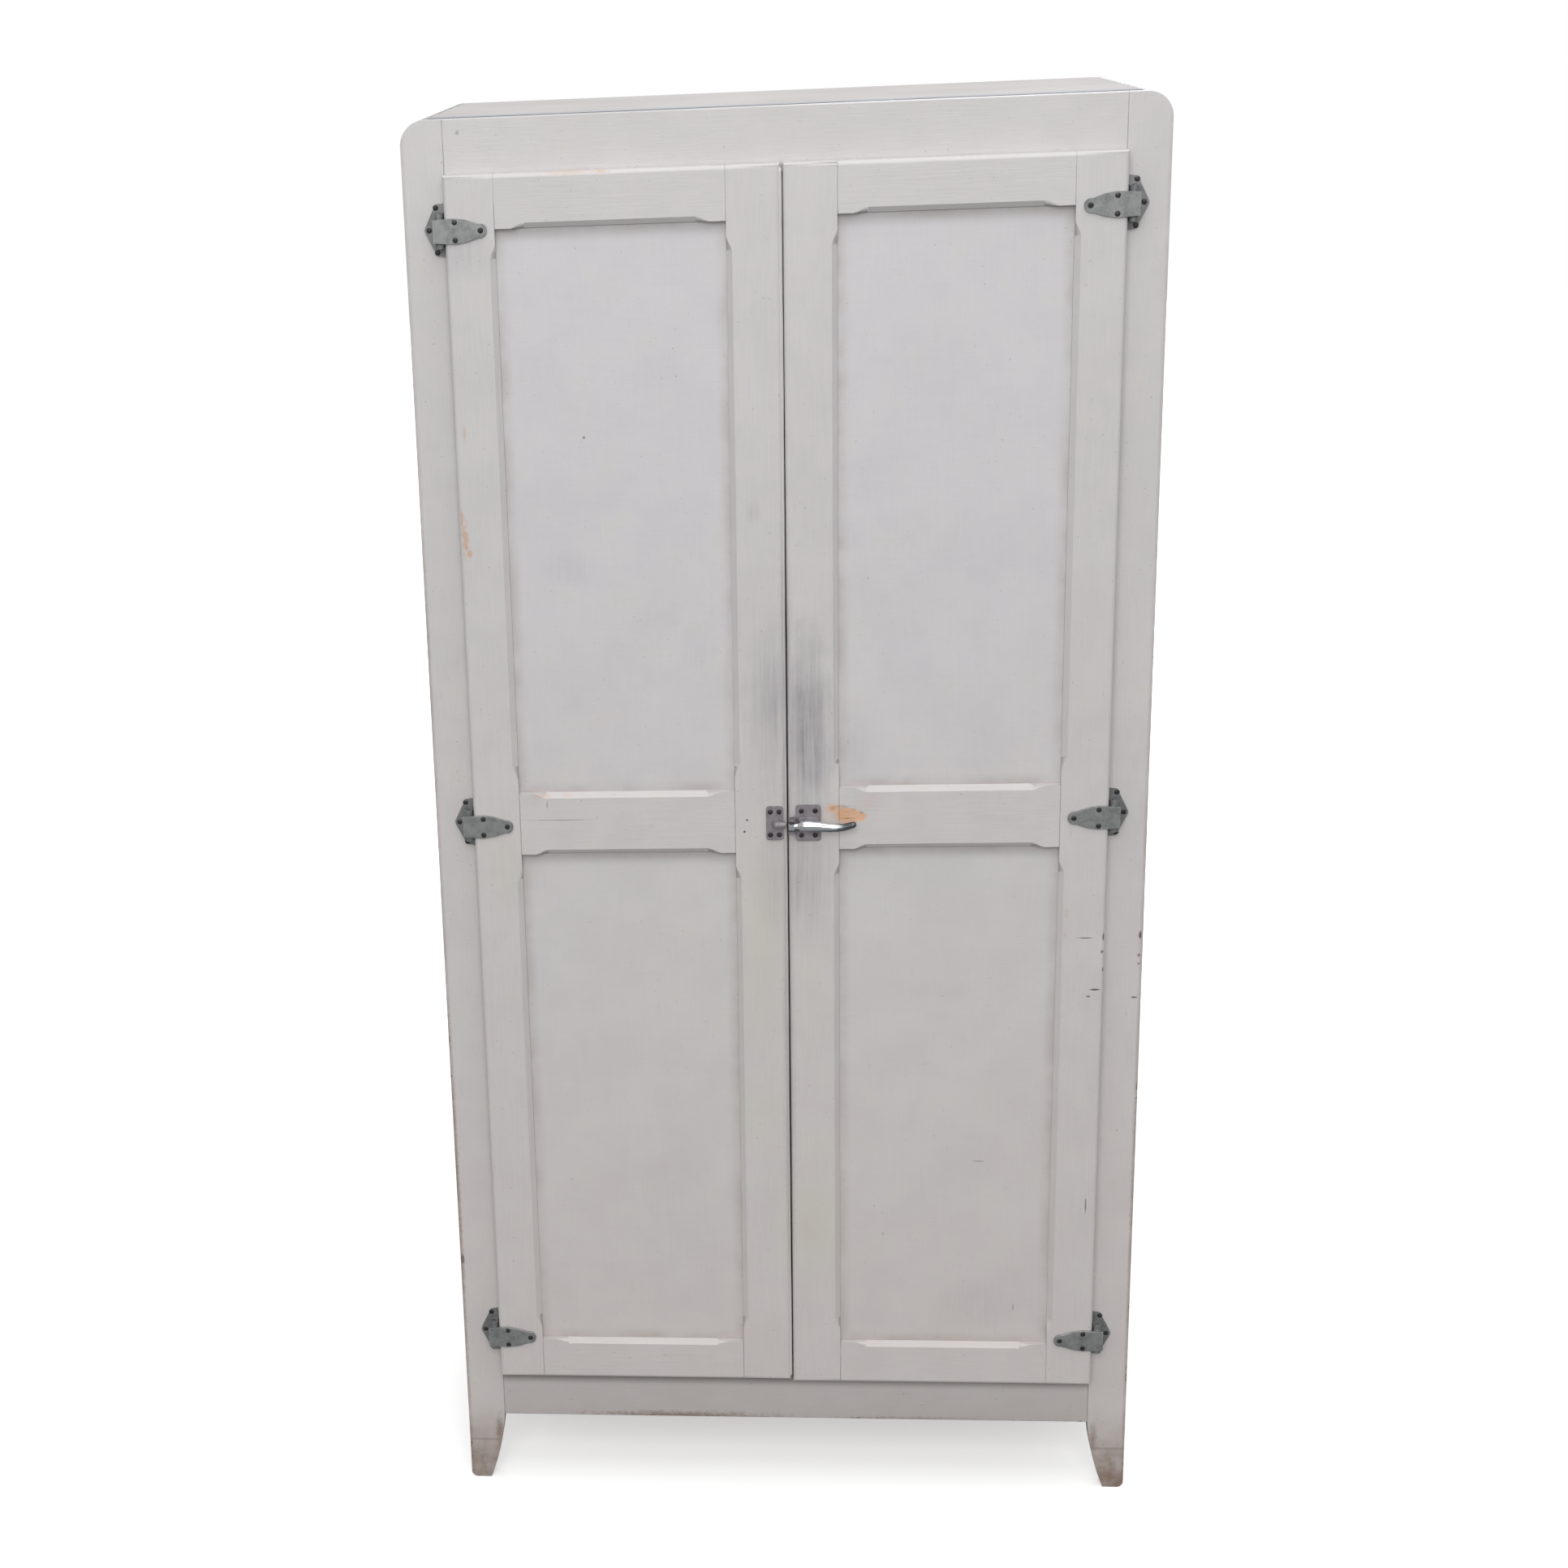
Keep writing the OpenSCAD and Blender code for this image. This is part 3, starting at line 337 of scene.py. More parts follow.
@once
def old_paint():
    """Brushed gloss paint: cloudy colour that greys toward the floor, brush marks along the grain, or a
    cross weave."""
    tree, t, given, out = shader_group(
        "old paint",
        [("Clean", "colour"), ("Low", "colour"), ("Yellowed", "colour"), ("Place", "vector"),
            ("Weave", "float"),
         ("Gloss", "float")],
        SURFACE,
    )
    here = t.place()
    height = t.parts(here)[Z]
    cloud = t.noise(here, 5.0, 4.0, 0.6)
    blotch = t.noise(here, 28.0, 4.0, 0.6)
    drop = t.ramp(t.plus(height, t.times(t.minus(cloud, 0.5), 0.9)), 1.45, 0.05)
    colour = t.mix(drop, given["Clean"], given["Low"])
    colour = t.mix(t.ramp(blotch, 0.5, 0.85, 0.0, 0.35), colour, given["Yellowed"])
    brush = t.noise(given["Place"], 1.0, 3.0, 0.6, stretch=(620.0, 620.0, 22.0))
    cross = t.noise(given["Place"], 1.0, 3.0, 0.6, stretch=(30.0, 30.0, 700.0))
    weave = t.between(given["Weave"], brush, t.times(t.plus(brush, cross), 0.5))
    shade = t.plus(t.times(t.minus(weave, 0.5), 0.16), 0.5)
    colour = t.mix(0.5, colour, t.joined(shade, shade, shade), "OVERLAY")
    mottle = t.ramp(t.noise(here, 14.0, 3.0, 0.6), 0.3, 0.7, 0.475, 0.525)
    colour = t.mix(0.6, colour, t.joined(mottle, mottle, mottle), "OVERLAY")
    speck = t.ramp(t.noise(here, 310.0, 1.0, 0.4), 0.76, 0.80)
    colour = t.mix(t.times(speck, 0.45), colour, tone(128, 120, 112))
    t.feed(out["Color"], colour)
    t.feed(out["Roughness"], t.plus(given["Gloss"], t.ramp(blotch, 0.3, 0.7, -0.05, 0.12)))
    ripple = t.noise(here, 60.0, 3.0, 0.5)
    fine = t.times(weave, 0.00016)
    t.feed(out["Height"], t.plus(fine, t.times(ripple, 0.00022)))
    return tree


@once
def edge_wear():
    """Chips along the edges of a board: noise lifted near the edge, cut at a threshold, with a thin
    dark rim."""
    tree, t, given, out = shader_group(
        "edge wear",
        [("Color", "colour"), ("Roughness", "float"), ("Height", "float"), ("Edge", "float"),
            ("Amount", "float"),
         ("Width", "float"), ("Bare", "colour"), ("Worn", "colour")],
        SURFACE,
    )
    here = t.place()
    fine = t.noise(here, 90.0, 6.0, 0.65)
    broad = t.noise(here, 9.0, 3.0, 0.6)
    near = t.ramp(given["Edge"], given["Width"], 0.0)
    low = t.ramp(t.parts(here)[Z], 1.5, 0.1, 0.25, 1.0)
    lift = t.times(t.times(near, given["Amount"]), t.ramp(broad, 0.42, 0.66))
    lift = t.times(lift, low)
    level = t.plus(fine, t.times(lift, 0.42))
    chip = t.ramp(level, 0.80, 0.84)
    rim = t.ramp(level, 0.72, 0.80)
    soil = t.times(t.times(near, rim), 0.5)
    colour = t.mix(soil, given["Color"], given["Worn"])
    colour = t.mix(chip, colour, t.mix(t.ramp(fine, 0.45, 0.62), given["Bare"], given["Worn"]))
    t.feed(out["Color"], colour)
    t.feed(out["Roughness"], t.between(chip, given["Roughness"], 0.8))
    t.feed(out["Height"], t.minus(given["Height"], t.times(chip, 0.0003)))
    return tree


# Marks as (x, z), (half width, half height), softness, raggedness, strength; metres
FRONT_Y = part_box("left_meeting_stile")[LOW].y
GRIME = [
    ((0.024, 1.035), (0.036, 0.150), 0.9, 0.35, 1.0), ((0.006, 0.93), (0.014, 0.06), 1.0, 0.3, 0.4),
    ((-0.014, 1.065), (0.042, 0.130), 1.0, 0.3, 0.62),
    ((0.016, 0.850), (0.046, 0.085), 0.9, 0.35, 0.55), ((-0.016, 0.850), (0.030, 0.080), 0.9, 0.3, 0.3),
    ((0.0, 1.06), (0.010, 0.26), 0.8, 0.3, 0.6), ((0.0, 0.62), (0.009, 0.42), 0.7, 0.5, 0.4),
    ((0.075, 1.02), (0.030, 0.06), 1.0, 0.3, 0.28), ((-0.36, 1.60), (0.05, 0.03), 1.0, 0.3, 0.3),
    ((-0.25, 1.24), (0.035, 0.030), 1.0, 0.4, 0.2), ((-0.10, 1.14), (0.030, 0.040), 1.0, 0.4, 0.18),
    ((-0.036, 1.30), (0.012, 0.02), 1.0, 0.4, 0.35), ((0.19, 0.70), (0.05, 0.02), 1.0, 0.5, 0.2),
    ((0.24, 0.28), (0.10, 0.06), 1.0, 0.4, 0.16), ((-0.16, 0.42), (0.08, 0.14), 1.0, 0.4, 0.12),
]
YELLOW = [
    ((-0.030, 0.78), (0.050, 0.19), 1.0, 0.4, 0.44), ((0.022, 0.39), (0.060, 0.09), 1.0, 0.4, 0.55),
    ((-0.032, 0.55), (0.050, 0.08), 1.0, 0.4, 0.28), ((0.030, 0.7), (0.05, 0.11), 1.0, 0.4, 0.22),
    ((-0.33, 0.13), (0.06, 0.06), 1.0, 0.4, 0.28), ((0.335, 0.13), (0.05, 0.07), 1.0, 0.4, 0.28),
    ((-0.34, 0.87), (0.05, 0.07), 1.0, 0.4, 0.33), ((0.05, 0.5), (0.06, 0.03), 1.0, 0.4, 0.28),
]
BARE = [
    ((0.0540, 0.9400), (0.011, 0.0075), 0.8, 0.5, 0.55), ((0.0740, 0.9310), (0.019, 0.0110), 0.6, 0.5, 1.0),
    ((0.0860, 0.9290), (0.010, 0.0065), 0.6, 0.5, 0.9),
]
RUBBED = [
    ((-0.3735, 1.302), (0.0022, 0.012), 0.6, 1.3, 0.9), ((-0.3700, 1.275), (0.0045, 0.024), 0.6, 1.5, 1.0),
    ((-0.3660, 1.259), (0.0045, 0.006), 0.6, 1.1, 1.0), ((-0.235, 1.6890), (0.045, 0.0034), 1.0, 1.1, 0.6),
    ((-0.20, 1.6888), (0.012, 0.0034), 0.9, 0.9, 0.8), ((-0.365, 1.40), (0.002, 0.012), 0.6, 1.4, 0.6),
    ((-0.292, 0.9595), (0.014, 0.0030), 0.9, 1.2, 0.7), ((-0.262, 0.9600), (0.008, 0.0024), 0.9, 1.2, 0.5),
    ((0.331, 0.804), (0.003, 0.010), 0.8, 0.9, 0.5), ((0.330, 0.777), (0.0025, 0.004), 0.8, 0.9, 0.6),
    ((0.043, 0.927), (0.014, 0.020), 1.2, 0.6, 0.35), ((0.064, 0.9345), (0.017, 0.0120), 0.8, 0.5, 0.95),
    ((0.095, 0.945), (0.020, 0.016), 1.4, 0.6, 0.3),
]
DARK = [
    ((-0.272, 0.929), (0.050, 0.0006), 0.7, 0.5, 0.55), ((-0.287, 0.9485), (0.0007, 0.006), 0.6, 0.4, 0.6),
    ((-0.0476, 0.9265), (0.0016, 0.0016), 0.5, 0.2, 0.95),
    ((-0.0509, 0.9118), (0.0015, 0.0018), 0.5, 0.2, 0.95),
    ((-0.2282, 1.3903), (0.0022, 0.0022), 0.5, 0.2, 0.7),
    ((-0.1209, 1.4576), (0.0015, 0.0015), 0.5, 0.2, 0.35),
    ((0.3750, 0.7740), (0.0013, 0.0060), 0.5, 0.4, 0.8), ((0.3535, 0.7727), (0.011, 0.0010), 0.5, 0.9, 0.6),
    ((0.3740, 0.7549), (0.0022, 0.0025), 0.5, 0.5, 0.7),
    ((0.3757, 0.7318), (0.0012, 0.0035), 0.5, 0.5, 0.7),
    ((0.3668, 0.7059), (0.0075, 0.0014), 0.5, 0.4, 0.9), ((0.3591, 0.6971), (0.003, 0.0012), 0.5, 0.4, 0.8),
    ((0.3636, 0.417), (0.0012, 0.013), 0.6, 0.8, 0.6), ((0.2319, 0.4729), (0.0095, 0.0009), 0.6, 0.4, 0.7),
    ((0.2784, 0.2700), (0.0011, 0.0065), 0.6, 0.5, 0.65),
    ((0.1153, 0.3719), (0.0010, 0.0032), 0.6, 0.4, 0.6),
    ((0.0725, 0.9275), (0.012, 0.0007), 0.8, 0.7, 0.55),
    ((0.0885, 0.9345), (0.0030, 0.0022), 0.9, 0.6, 0.45),
    ((0.0535, 0.9400), (0.0070, 0.0050), 1.0, 0.8, 0.34), ((0.066, 0.9425), (0.010, 0.0018), 1.0, 0.9, 0.3),
]
FRAME_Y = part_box("front_stile_left")[LOW].y
FRAME_DARK = [
    ((0.4215, 0.768), (0.002, 0.006), 0.5, 0.5, 0.9), ((0.4205, 0.742), (0.0022, 0.0025), 0.5, 0.5, 0.7),
    ((0.4208, 0.731), (0.002, 0.002), 0.5, 0.5, 0.6), ((0.4165, 0.687), (0.005, 0.0014), 0.5, 0.4, 0.85),
    ((-0.4225, 0.325), (0.003, 0.009), 0.5, 0.8, 0.7), ((-0.36, 1.735), (0.003, 0.004), 0.7, 0.6, 0.4),
]
FRAME_WORN = [
    ((-0.145, 0.097), (0.150, 0.008), 0.8, 0.9, 0.9), ((0.15, 0.097), (0.120, 0.004), 0.8, 0.9, 0.5),
    ((-0.4255, 0.42), (0.006, 0.30), 0.9, 0.8, 0.8), ((0.4255, 0.42), (0.005, 0.25), 0.9, 0.8, 0.5),
    ((-0.4255, 1.15), (0.004, 0.20), 0.9, 0.9, 0.5), ((-0.3850, 0.07), (0.006, 0.030), 0.9, 0.8, 0.9),
    ((0.3850, 0.07), (0.006, 0.030), 0.9, 0.8, 0.7),
]


def marks_group(name, depth, reach, lists):
    """One mask per list of marks: the strongest of its spots on the face at depth, each reaching reach
    behind it."""
    tree, t, _, out = shader_group(name, [], [(label, "float") for label in lists])
    here = t.place()
    fine = t.noise(here, 230.0, 5.0, 0.62)
    broad = t.noise(here, 34.0, 4.0, 0.62)
    for label, marks in lists.items():
        strongest = 0.0
        for (x, z), (half_w, half_h), softness, ragged, strength in marks:
            spot = t.group(
                ragged_spot(), Centre=(x, depth, z), Size=(half_w, reach, half_h), Softness=softness,
                Ragged=ragged, Noise=broad if min(half_w, half_h) > 0.012 else fine, Strength=strength,
            )["Mask"]
            strongest = t.math("MAXIMUM", strongest, spot)
        t.feed(out[label], strongest)
    return tree


@once
def door_marks():
    return marks_group(
        "door marks", FRONT_Y, 0.020, {"Grime": GRIME, "Yellow": YELLOW, "Bare": BARE, "Rubbed": RUBBED,
                                 "Dark": DARK}
    )


@once
def frame_marks():
    return marks_group("frame marks", FRAME_Y, 0.020, {"Dark": FRAME_DARK, "Worn": FRAME_WORN})


@once
def plank_wood():
    """Bare softwood: long streaks of late wood along the grain, bent by slow noise, with dust toward
    the edges."""
    tree, t, given, out = shader_group(
        "plank wood",
        [("Early", "colour"), ("Late", "colour"), ("Place", "vector"), ("Edge", "float")],
        SURFACE,
    )
    bend = t.noise(given["Place"], 1.0, 3.0, 0.5, stretch=(9.0, 9.0, 1.1))
    x = t.parts(given["Place"])[X]
    across = t.plus(t.times(x, 130.0), t.times(bend, 34.0))
    rings = t.ramp(t.math("SINE", across), -0.2, 1.0)
    fibre = t.noise(given["Place"], 1.0, 4.0, 0.65, stretch=(900.0, 900.0, 14.0))
    share = t.plus(t.times(rings, 0.5), t.times(fibre, 0.45), clamp=True)
    colour = t.mix(share, given["Early"], given["Late"])
    dust = t.times(t.ramp(given["Edge"], 0.03, 0.0), t.ramp(t.noise(t.place(), 20.0), 0.3, 0.7))
    t.feed(out["Color"], t.mix(t.times(dust, 0.35), colour, tone(120, 108, 96)))
    t.feed(out["Roughness"], t.ramp(fibre, 0.2, 0.8, 0.55, 0.75))
    t.feed(out["Height"], t.times(t.plus(fibre, rings), 0.00012))
    return tree


@once
def worn_plate():
    """Old plated metal: cloudy tarnish, darker pits, and edges rubbed bright."""
    tree, t, given, out = shader_group(
        "worn plate",
        [("Bright", "colour"), ("Tarnish", "colour"), ("Edge", "float"), ("Roughness", "float")],
        SURFACE,
    )
    here = t.place()
    cloud = t.noise(here, 70.0, 5.0, 0.65)
    pits = t.ramp(t.noise(here, 600.0, 3.0, 0.6), 0.62, 0.72)
    share = t.plus(t.ramp(cloud, 0.38, 0.68, 0.0, 0.75), t.times(pits, 0.5), clamp=True)
    colour = t.mix(share, given["Bright"], given["Tarnish"])
    rubbed = t.times(t.ramp(given["Edge"], 0.0012, 0.0002), t.ramp(cloud, 0.6, 0.4))
    t.feed(out["Color"], t.mix(t.times(rubbed, 0.4), colour, tone(190, 192, 192)))
    t.feed(out["Roughness"], t.plus(given["Roughness"], t.times(share, 0.2)))
    t.feed(out["Height"], t.minus(t.times(cloud, 0.0001), t.times(pits, 0.00005)))
    return tree


# ------------------------------------------------------------------ materials


def new_material(name):
    """A material with an empty tree, as (material, wiring, principled shader)."""
    material = bpy.data.materials.new(name)
    material.use_nodes = True
    material.node_tree.nodes.clear()
    t = Tree(material.node_tree)
    shader = t.add("ShaderNodeBsdfPrincipled")
    t.feed(t.add("ShaderNodeOutputMaterial").inputs["Surface"], shader.outputs[0])
    return material, t, shader


def finish_material(t, shader, colour, roughness, height, strength=1.0):
    bump = t.add("ShaderNodeBump")
    bump.inputs["Strength"].default_value = strength
    bump.inputs["Distance"].default_value = 1.0
    t.feed(bump.inputs["Height"], height)
    t.feed(shader.inputs["Normal"], bump.outputs[0])
    t.feed(shader.inputs["Base Color"], colour)
    t.feed(shader.inputs["Roughness"], roughness)


# Where paint, dirt and painted shade change on the frame, the panels and the top: from none to full, in
# metres
FOOT_SOIL = (0.13, 0.0)
MOP_LINE, MOP_LINE_HALF = 0.057, 0.0025
RIM, RIM_DEPTH, RIM_HEIGHT = (0.4195, 0.4250), (0.004, 0.001), (1.7, 0.3)
RAIL_END = (0.3785, 0.3765)
# SHADE_FOOT and SHADE_TOP bound a painted shadow band across the bottom rail under the doors
SHADE_FOOT, SHADE_TOP = (0.140, 0.160), (0.175, 0.170)
RAIL_SOIL = (0.19, 0.11)
# The next pair bounds a bluish painted shade and a dark painted shadow stripe along the top panel's front
# edge, behind the front rail
SEAM_SHADE_TINT, SEAM_SHADOW_STRIPE = (0.075, 0.02), (0.018, 0.012)
JOINT_LINE = (0.0013, 0.0003)
# PANEL_SHADE bounds a painted shade along the top of each recessed panel
CORNER_SOIL, PANEL_SHADE = (0.016, 0.0), (0.020, 0.0)


def painted(name, weave=0.0, wear=0.5, wear_width=0.004, on_door=False, joint=0.0, seam=False):
    """Old gloss paint on a board, with the marks of the door or of the frame, worn edges and dark joint
    lines. On the frame it adds a painted shadow under the doors, on the panels a painted shade along their
    tops, and on the top panel a painted shadow stripe and a bluish painted shade at its front edge."""
    paint = bpy.context.scene.pantry_paint
    material, t, shader = new_material(name)
    board = t.group(board_place())
    coat = t.group(
        old_paint(), Clean=tuple(paint.coat if weave else paint.warm_coat), Low=tuple(paint.low_coat),
            Yellowed=tuple(paint.yellowed),
        Place=board["Place"], Weave=weave, Gloss=paint.gloss,
    )
    colour, roughness, height = coat["Color"], coat["Roughness"], coat["Height"]
    bare = 0.0
    if on_door:
        marks = t.group(door_marks())
        streak = t.noise(t.place(), 1.0, 4.0, 0.65, stretch=(260.0, 60.0, 9.0))
        grime = t.times(marks["Grime"], t.ramp(streak, 0.25, 0.72, 0.35, 1.0))
        colour = t.mix(marks["Yellow"], colour, tuple(paint.yellowed))
        colour = t.mix(t.times(grime, 0.72), colour, tuple(paint.grime))
        grain = t.noise(t.place(), 1.0, 4.0, 0.6, stretch=(70.0, 300.0, 900.0))
        wood = t.mix(t.ramp(grain, 0.45, 0.8, 0.0, 0.5), tuple(paint.chipped), tuple(paint.worn))
        colour = t.mix(t.times(marks["Rubbed"], 0.75), colour, tuple(paint.undercoat))
        colour = t.mix(t.ramp(marks["Bare"], 0.0, 0.5, 0.0, 0.8), colour, wood)
        colour = t.mix(marks["Dark"], colour, tone(62, 54, 52))
        bare = marks["Bare"]
        roughness = t.between(bare, roughness, 0.8)
        height = t.minus(height, t.times(bare, 0.0005))
        height = t.minus(height, t.times(marks["Dark"], 0.0004))
    else:
        marks = t.group(frame_marks())
        here = t.place()
        low = t.parts(here)[Z]
        cloud = t.noise(here, 40.0, 5.0, 0.65)
        soil = t.times(t.ramp(low, *FOOT_SOIL), t.ramp(cloud, 0.25, 0.75, 0.45, 1.0))
        tide = t.minus(1.0, t.math("DIVIDE", t.math("ABSOLUTE", t.minus(low, MOP_LINE)), MOP_LINE_HALF),
                      clamp=True)
        colour = t.mix(soil, colour, tuple(paint.worn))
        colour = t.mix(t.times(tide, 0.35), colour, tone(96, 80, 70))
        colour = t.mix(t.times(marks["Worn"], 0.8), colour, tuple(paint.worn))
        colour = t.mix(marks["Dark"], colour, tone(70, 58, 54))
        aside = t.math("ABSOLUTE", t.parts(here)[X])
        rim = t.times(t.ramp(aside, *RIM), t.ramp(cloud, 0.2, 0.7, 0.35, 1.0))
        rim = t.times(rim, t.ramp(t.parts(here)[Y], FRAME_Y + RIM_DEPTH[0], FRAME_Y + RIM_DEPTH[1]))
        colour = t.mix(t.times(rim, t.ramp(low, *RIM_HEIGHT, 0.28, 0.6)), colour, tuple(paint.worn))
        # Painted shadow: a dark band across the bottom rail under the doors, between the ends of the door
        # opening, which stays when the doors open
        inner = t.ramp(aside, *RAIL_END)
        shade = t.times(t.times(t.ramp(low, *SHADE_FOOT), t.ramp(low, *SHADE_TOP)), inner)
        colour = t.mix(t.times(shade, 0.85), colour, tone(92, 84, 80))
        colour = t.mix(t.times(t.ramp(low, *RAIL_SOIL, 0.0, 0.16), inner), colour, tone(96, 88, 84))
    worn = t.group(
        edge_wear(), Color=colour, Roughness=roughness, Height=height, Edge=board["Edge"], Amount=wear,
        Width=wear_width, Bare=tuple(paint.undercoat), Worn=tuple(paint.worn),
    )
    colour = worn["Color"]
    if joint:
        line = t.ramp(board["End"], *JOINT_LINE)
        broken = t.ramp(t.noise(t.place(), 30.0, 3.0, 0.6), 0.3, 0.6, 0.35, 1.0)
        colour = t.mix(t.times(t.times(line, broken), joint), colour, tuple(paint.seam))
    # On the top panel: a bluish painted shade fading out over about 75 mm from its front edge, and a dark
    # painted shadow stripe over the first 12 to 18 mm, so that from the front it reads as a dark seam line
    # behind the top rail
    if seam:
        back = t.minus(t.parts(t.place())[Y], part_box("top_panel")[LOW].y)
        wobble = t.noise(t.place(), 14.0, 4.0, 0.6)
        back = t.minus(back, t.times(t.minus(wobble, 0.5), 0.012))
        dust = t.ramp(t.noise(t.place(), 7.0, 4.0, 0.6), 0.3, 0.7, 0.05, 0.28)
        colour = t.mix(dust, colour, tone(150, 144, 138))
        colour = t.mix(t.ramp(back, *SEAM_SHADE_TINT, 0.0, 0.4), colour, tone(150, 162, 176))
        colour = t.mix(t.ramp(back, *SEAM_SHADOW_STRIPE, 0.0, 0.85), colour, tone(50, 60, 72))
    if weave:
        corner = t.times(t.ramp(board["Edge"], *CORNER_SOIL),
            t.ramp(t.noise(t.place(), 22.0), 0.3, 0.7, 0.3, 1.0))
        colour = t.mix(t.times(corner, 0.28), colour, tuple(paint.worn))
        # Painted shade: the top 20 mm of each panel is darkened, as if in shadow under the rail above it
        under = t.minus(t.parts(t.attribute("board_high"))[Z], t.parts(t.place())[Z])
        colour = t.mix(t.ramp(under, *PANEL_SHADE, 0.0, 0.32), colour, tone(104, 100, 98))
    rough = t.between(0.8, worn["Roughness"], 0.95) if seam else worn["Roughness"]
    finish_material(t, shader, colour, rough, worn["Height"])
    shader.inputs["Coat Weight"].default_value = 0.0 if seam else 0.12
    shader.inputs["Coat Roughness"].default_value = 0.3
    return material


def bare_wood(name, count=0):
    """Bare softwood; a row of count boards side by side gets its own grain and tint on each and a dark
    line between."""
    paint = bpy.context.scene.pantry_paint
    material, t, shader = new_material(name)
    board = t.group(board_place())
    place = board["Place"]
    tint, line = 0.5, 0.0
    if count:
        low, high = t.attribute("board_low"), t.attribute("board_high")
        share = t.vector("DIVIDE", t.vector("SUBTRACT", t.place(), low), t.vector("SUBTRACT", high, low))
        across = t.times(t.parts(share)[X], float(count))
        number = t.math("FLOOR", across)
        chance = t.add("ShaderNodeTexWhiteNoise", noise_dimensions="1D")
        t.feed(chance.inputs["W"], number)
        tint = chance.outputs["Value"]
        place = t.vector("ADD", place, t.joined(t.times(number, 0.71), 0.0, t.times(number, 2.3)))
        line = t.ramp(t.math("ABSOLUTE", t.minus(t.math("FRACT", across), 0.5)), 0.490, 0.497)
    wood = t.group(
        plank_wood(), Early=tuple(paint.inside), Late=tuple(paint.inside_dark), Place=place,
            Edge=board["Edge"],
    )
    shade = t.ramp(tint, 0.0, 1.0, 0.42, 0.56)
    colour = t.mix(1.0, wood["Color"], t.joined(shade, shade, shade), "OVERLAY")
    colour = t.mix(t.times(line, 0.8), colour, tone(52, 40, 30))
    height = t.minus(wood["Height"], t.times(line, 0.001))
    finish_material(t, shader, colour, wood["Roughness"], height)
    return material


def plated(name, bright, tarnish, rough, metallic=0.5):
    material, t, shader = new_material(name)
    board = t.group(board_place())
    plate = t.group(worn_plate(), Bright=tuple(bright), Tarnish=tuple(tarnish), Edge=board["Edge"],
        Roughness=rough)
    finish_material(t, shader, plate["Color"], plate["Roughness"], plate["Height"])
    shader.inputs["Metallic"].default_value = metallic
    return material


def chrome(name):
    """Bright plating that has worn through toward the lever's tip, with a painted dark teal reflection on its
    lower side.
    """
    metal = bpy.context.scene.pantry_metal
    material, t, shader = new_material(name)
    here = t.place()
    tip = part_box("latch_lever")[HIGH].x
    along = t.parts(here)[X]
    cloud = t.noise(here, 160.0, 5.0, 0.6)
    worn = t.ramp(t.plus(along, t.times(t.minus(cloud, 0.5), 0.02)), tip - 0.030, tip - 0.014)
    scratch = t.noise(here, 1.0, 3.0, 0.6, stretch=(120.0, 2600.0, 2600.0))
    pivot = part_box("latch_pin")
    below = t.minus((pivot[LOW].z + pivot[HIGH].z) / 2.0, t.parts(here)[Z])
    # Painted reflection: below the pin's middle the lever turns dark teal, as a reflection of a dark ground
    colour = t.mix(t.ramp(below, 0.0022, 0.0058, 0.0, 0.85), tuple(metal.chrome), tone(58, 84, 94))
    colour = t.mix(worn, colour, tuple(metal.chrome_worn))
    roughness = t.plus(t.between(worn, 0.10, 0.42), t.ramp(scratch, 0.5, 0.8, 0.0, 0.10))
    finish_material(t, shader, colour, roughness, t.times(scratch, 0.00001))
    shader.inputs["Metallic"].default_value = 1.0
    return material


# --------------------------------------------------------------------- meshes


def mark_board(mesh, box, turned):
    """Writes a board's visible box and the way of its grain to the mesh, the same at every vertex."""
    count = len(mesh.vertices)
    for name, corner in (("board_low", box[LOW]), ("board_high", box[HIGH])):
        values = np.tile(np.array(corner, np.float32), count)
        mesh.attributes.new(name, "FLOAT_VECTOR", "POINT").data.foreach_set("vector", values)
    turn = np.full(count, 1.0 if turned else 0.0, np.float32)
    mesh.attributes.new("board_turn", "FLOAT", "POINT").data.foreach_set("value", turn)


def sharp_edges(mesh, shortest, angle):
    """1 for each edge longer than shortest whose faces meet at more than angle, else 0, as one array."""
    corners = len(mesh.loops)
    edge_of = np.empty(corners, np.int32)
    mesh.loops.foreach_get("edge_index", edge_of)
    sides = np.empty(len(mesh.polygons), np.int32)
    mesh.polygons.foreach_get("loop_total", sides)
    normals = np.empty(len(mesh.polygons) * 3, np.float32)
    mesh.polygons.foreach_get("normal", normals)
    facing = normals.reshape(-1, 3)[np.repeat(np.arange(len(sides)), sides)]
    total = np.zeros((len(mesh.edges), 3))
    for axis in (X, Y, Z):
        total[:, axis] = np.bincount(edge_of, facing[:, axis], len(mesh.edges))
    faces = np.bincount(edge_of, minlength=len(mesh.edges))
    square = ((total ** 2).sum(1) - 2.0) / 2.0
    ends = np.empty(len(mesh.edges) * 2, np.int32)
    mesh.edges.foreach_get("vertices", ends)
    points = np.empty(len(mesh.vertices) * 3, np.float32)
    mesh.vertices.foreach_get("co", points)
    pairs = points.reshape(-1, 3)[ends.reshape(-1, 2)]
    length = np.linalg.norm(pairs[:, 1] - pairs[:, 0], axis=1)
    return ((faces == 2) & (square < math.cos(angle)) & (length > shortest)).astype(np.float32)


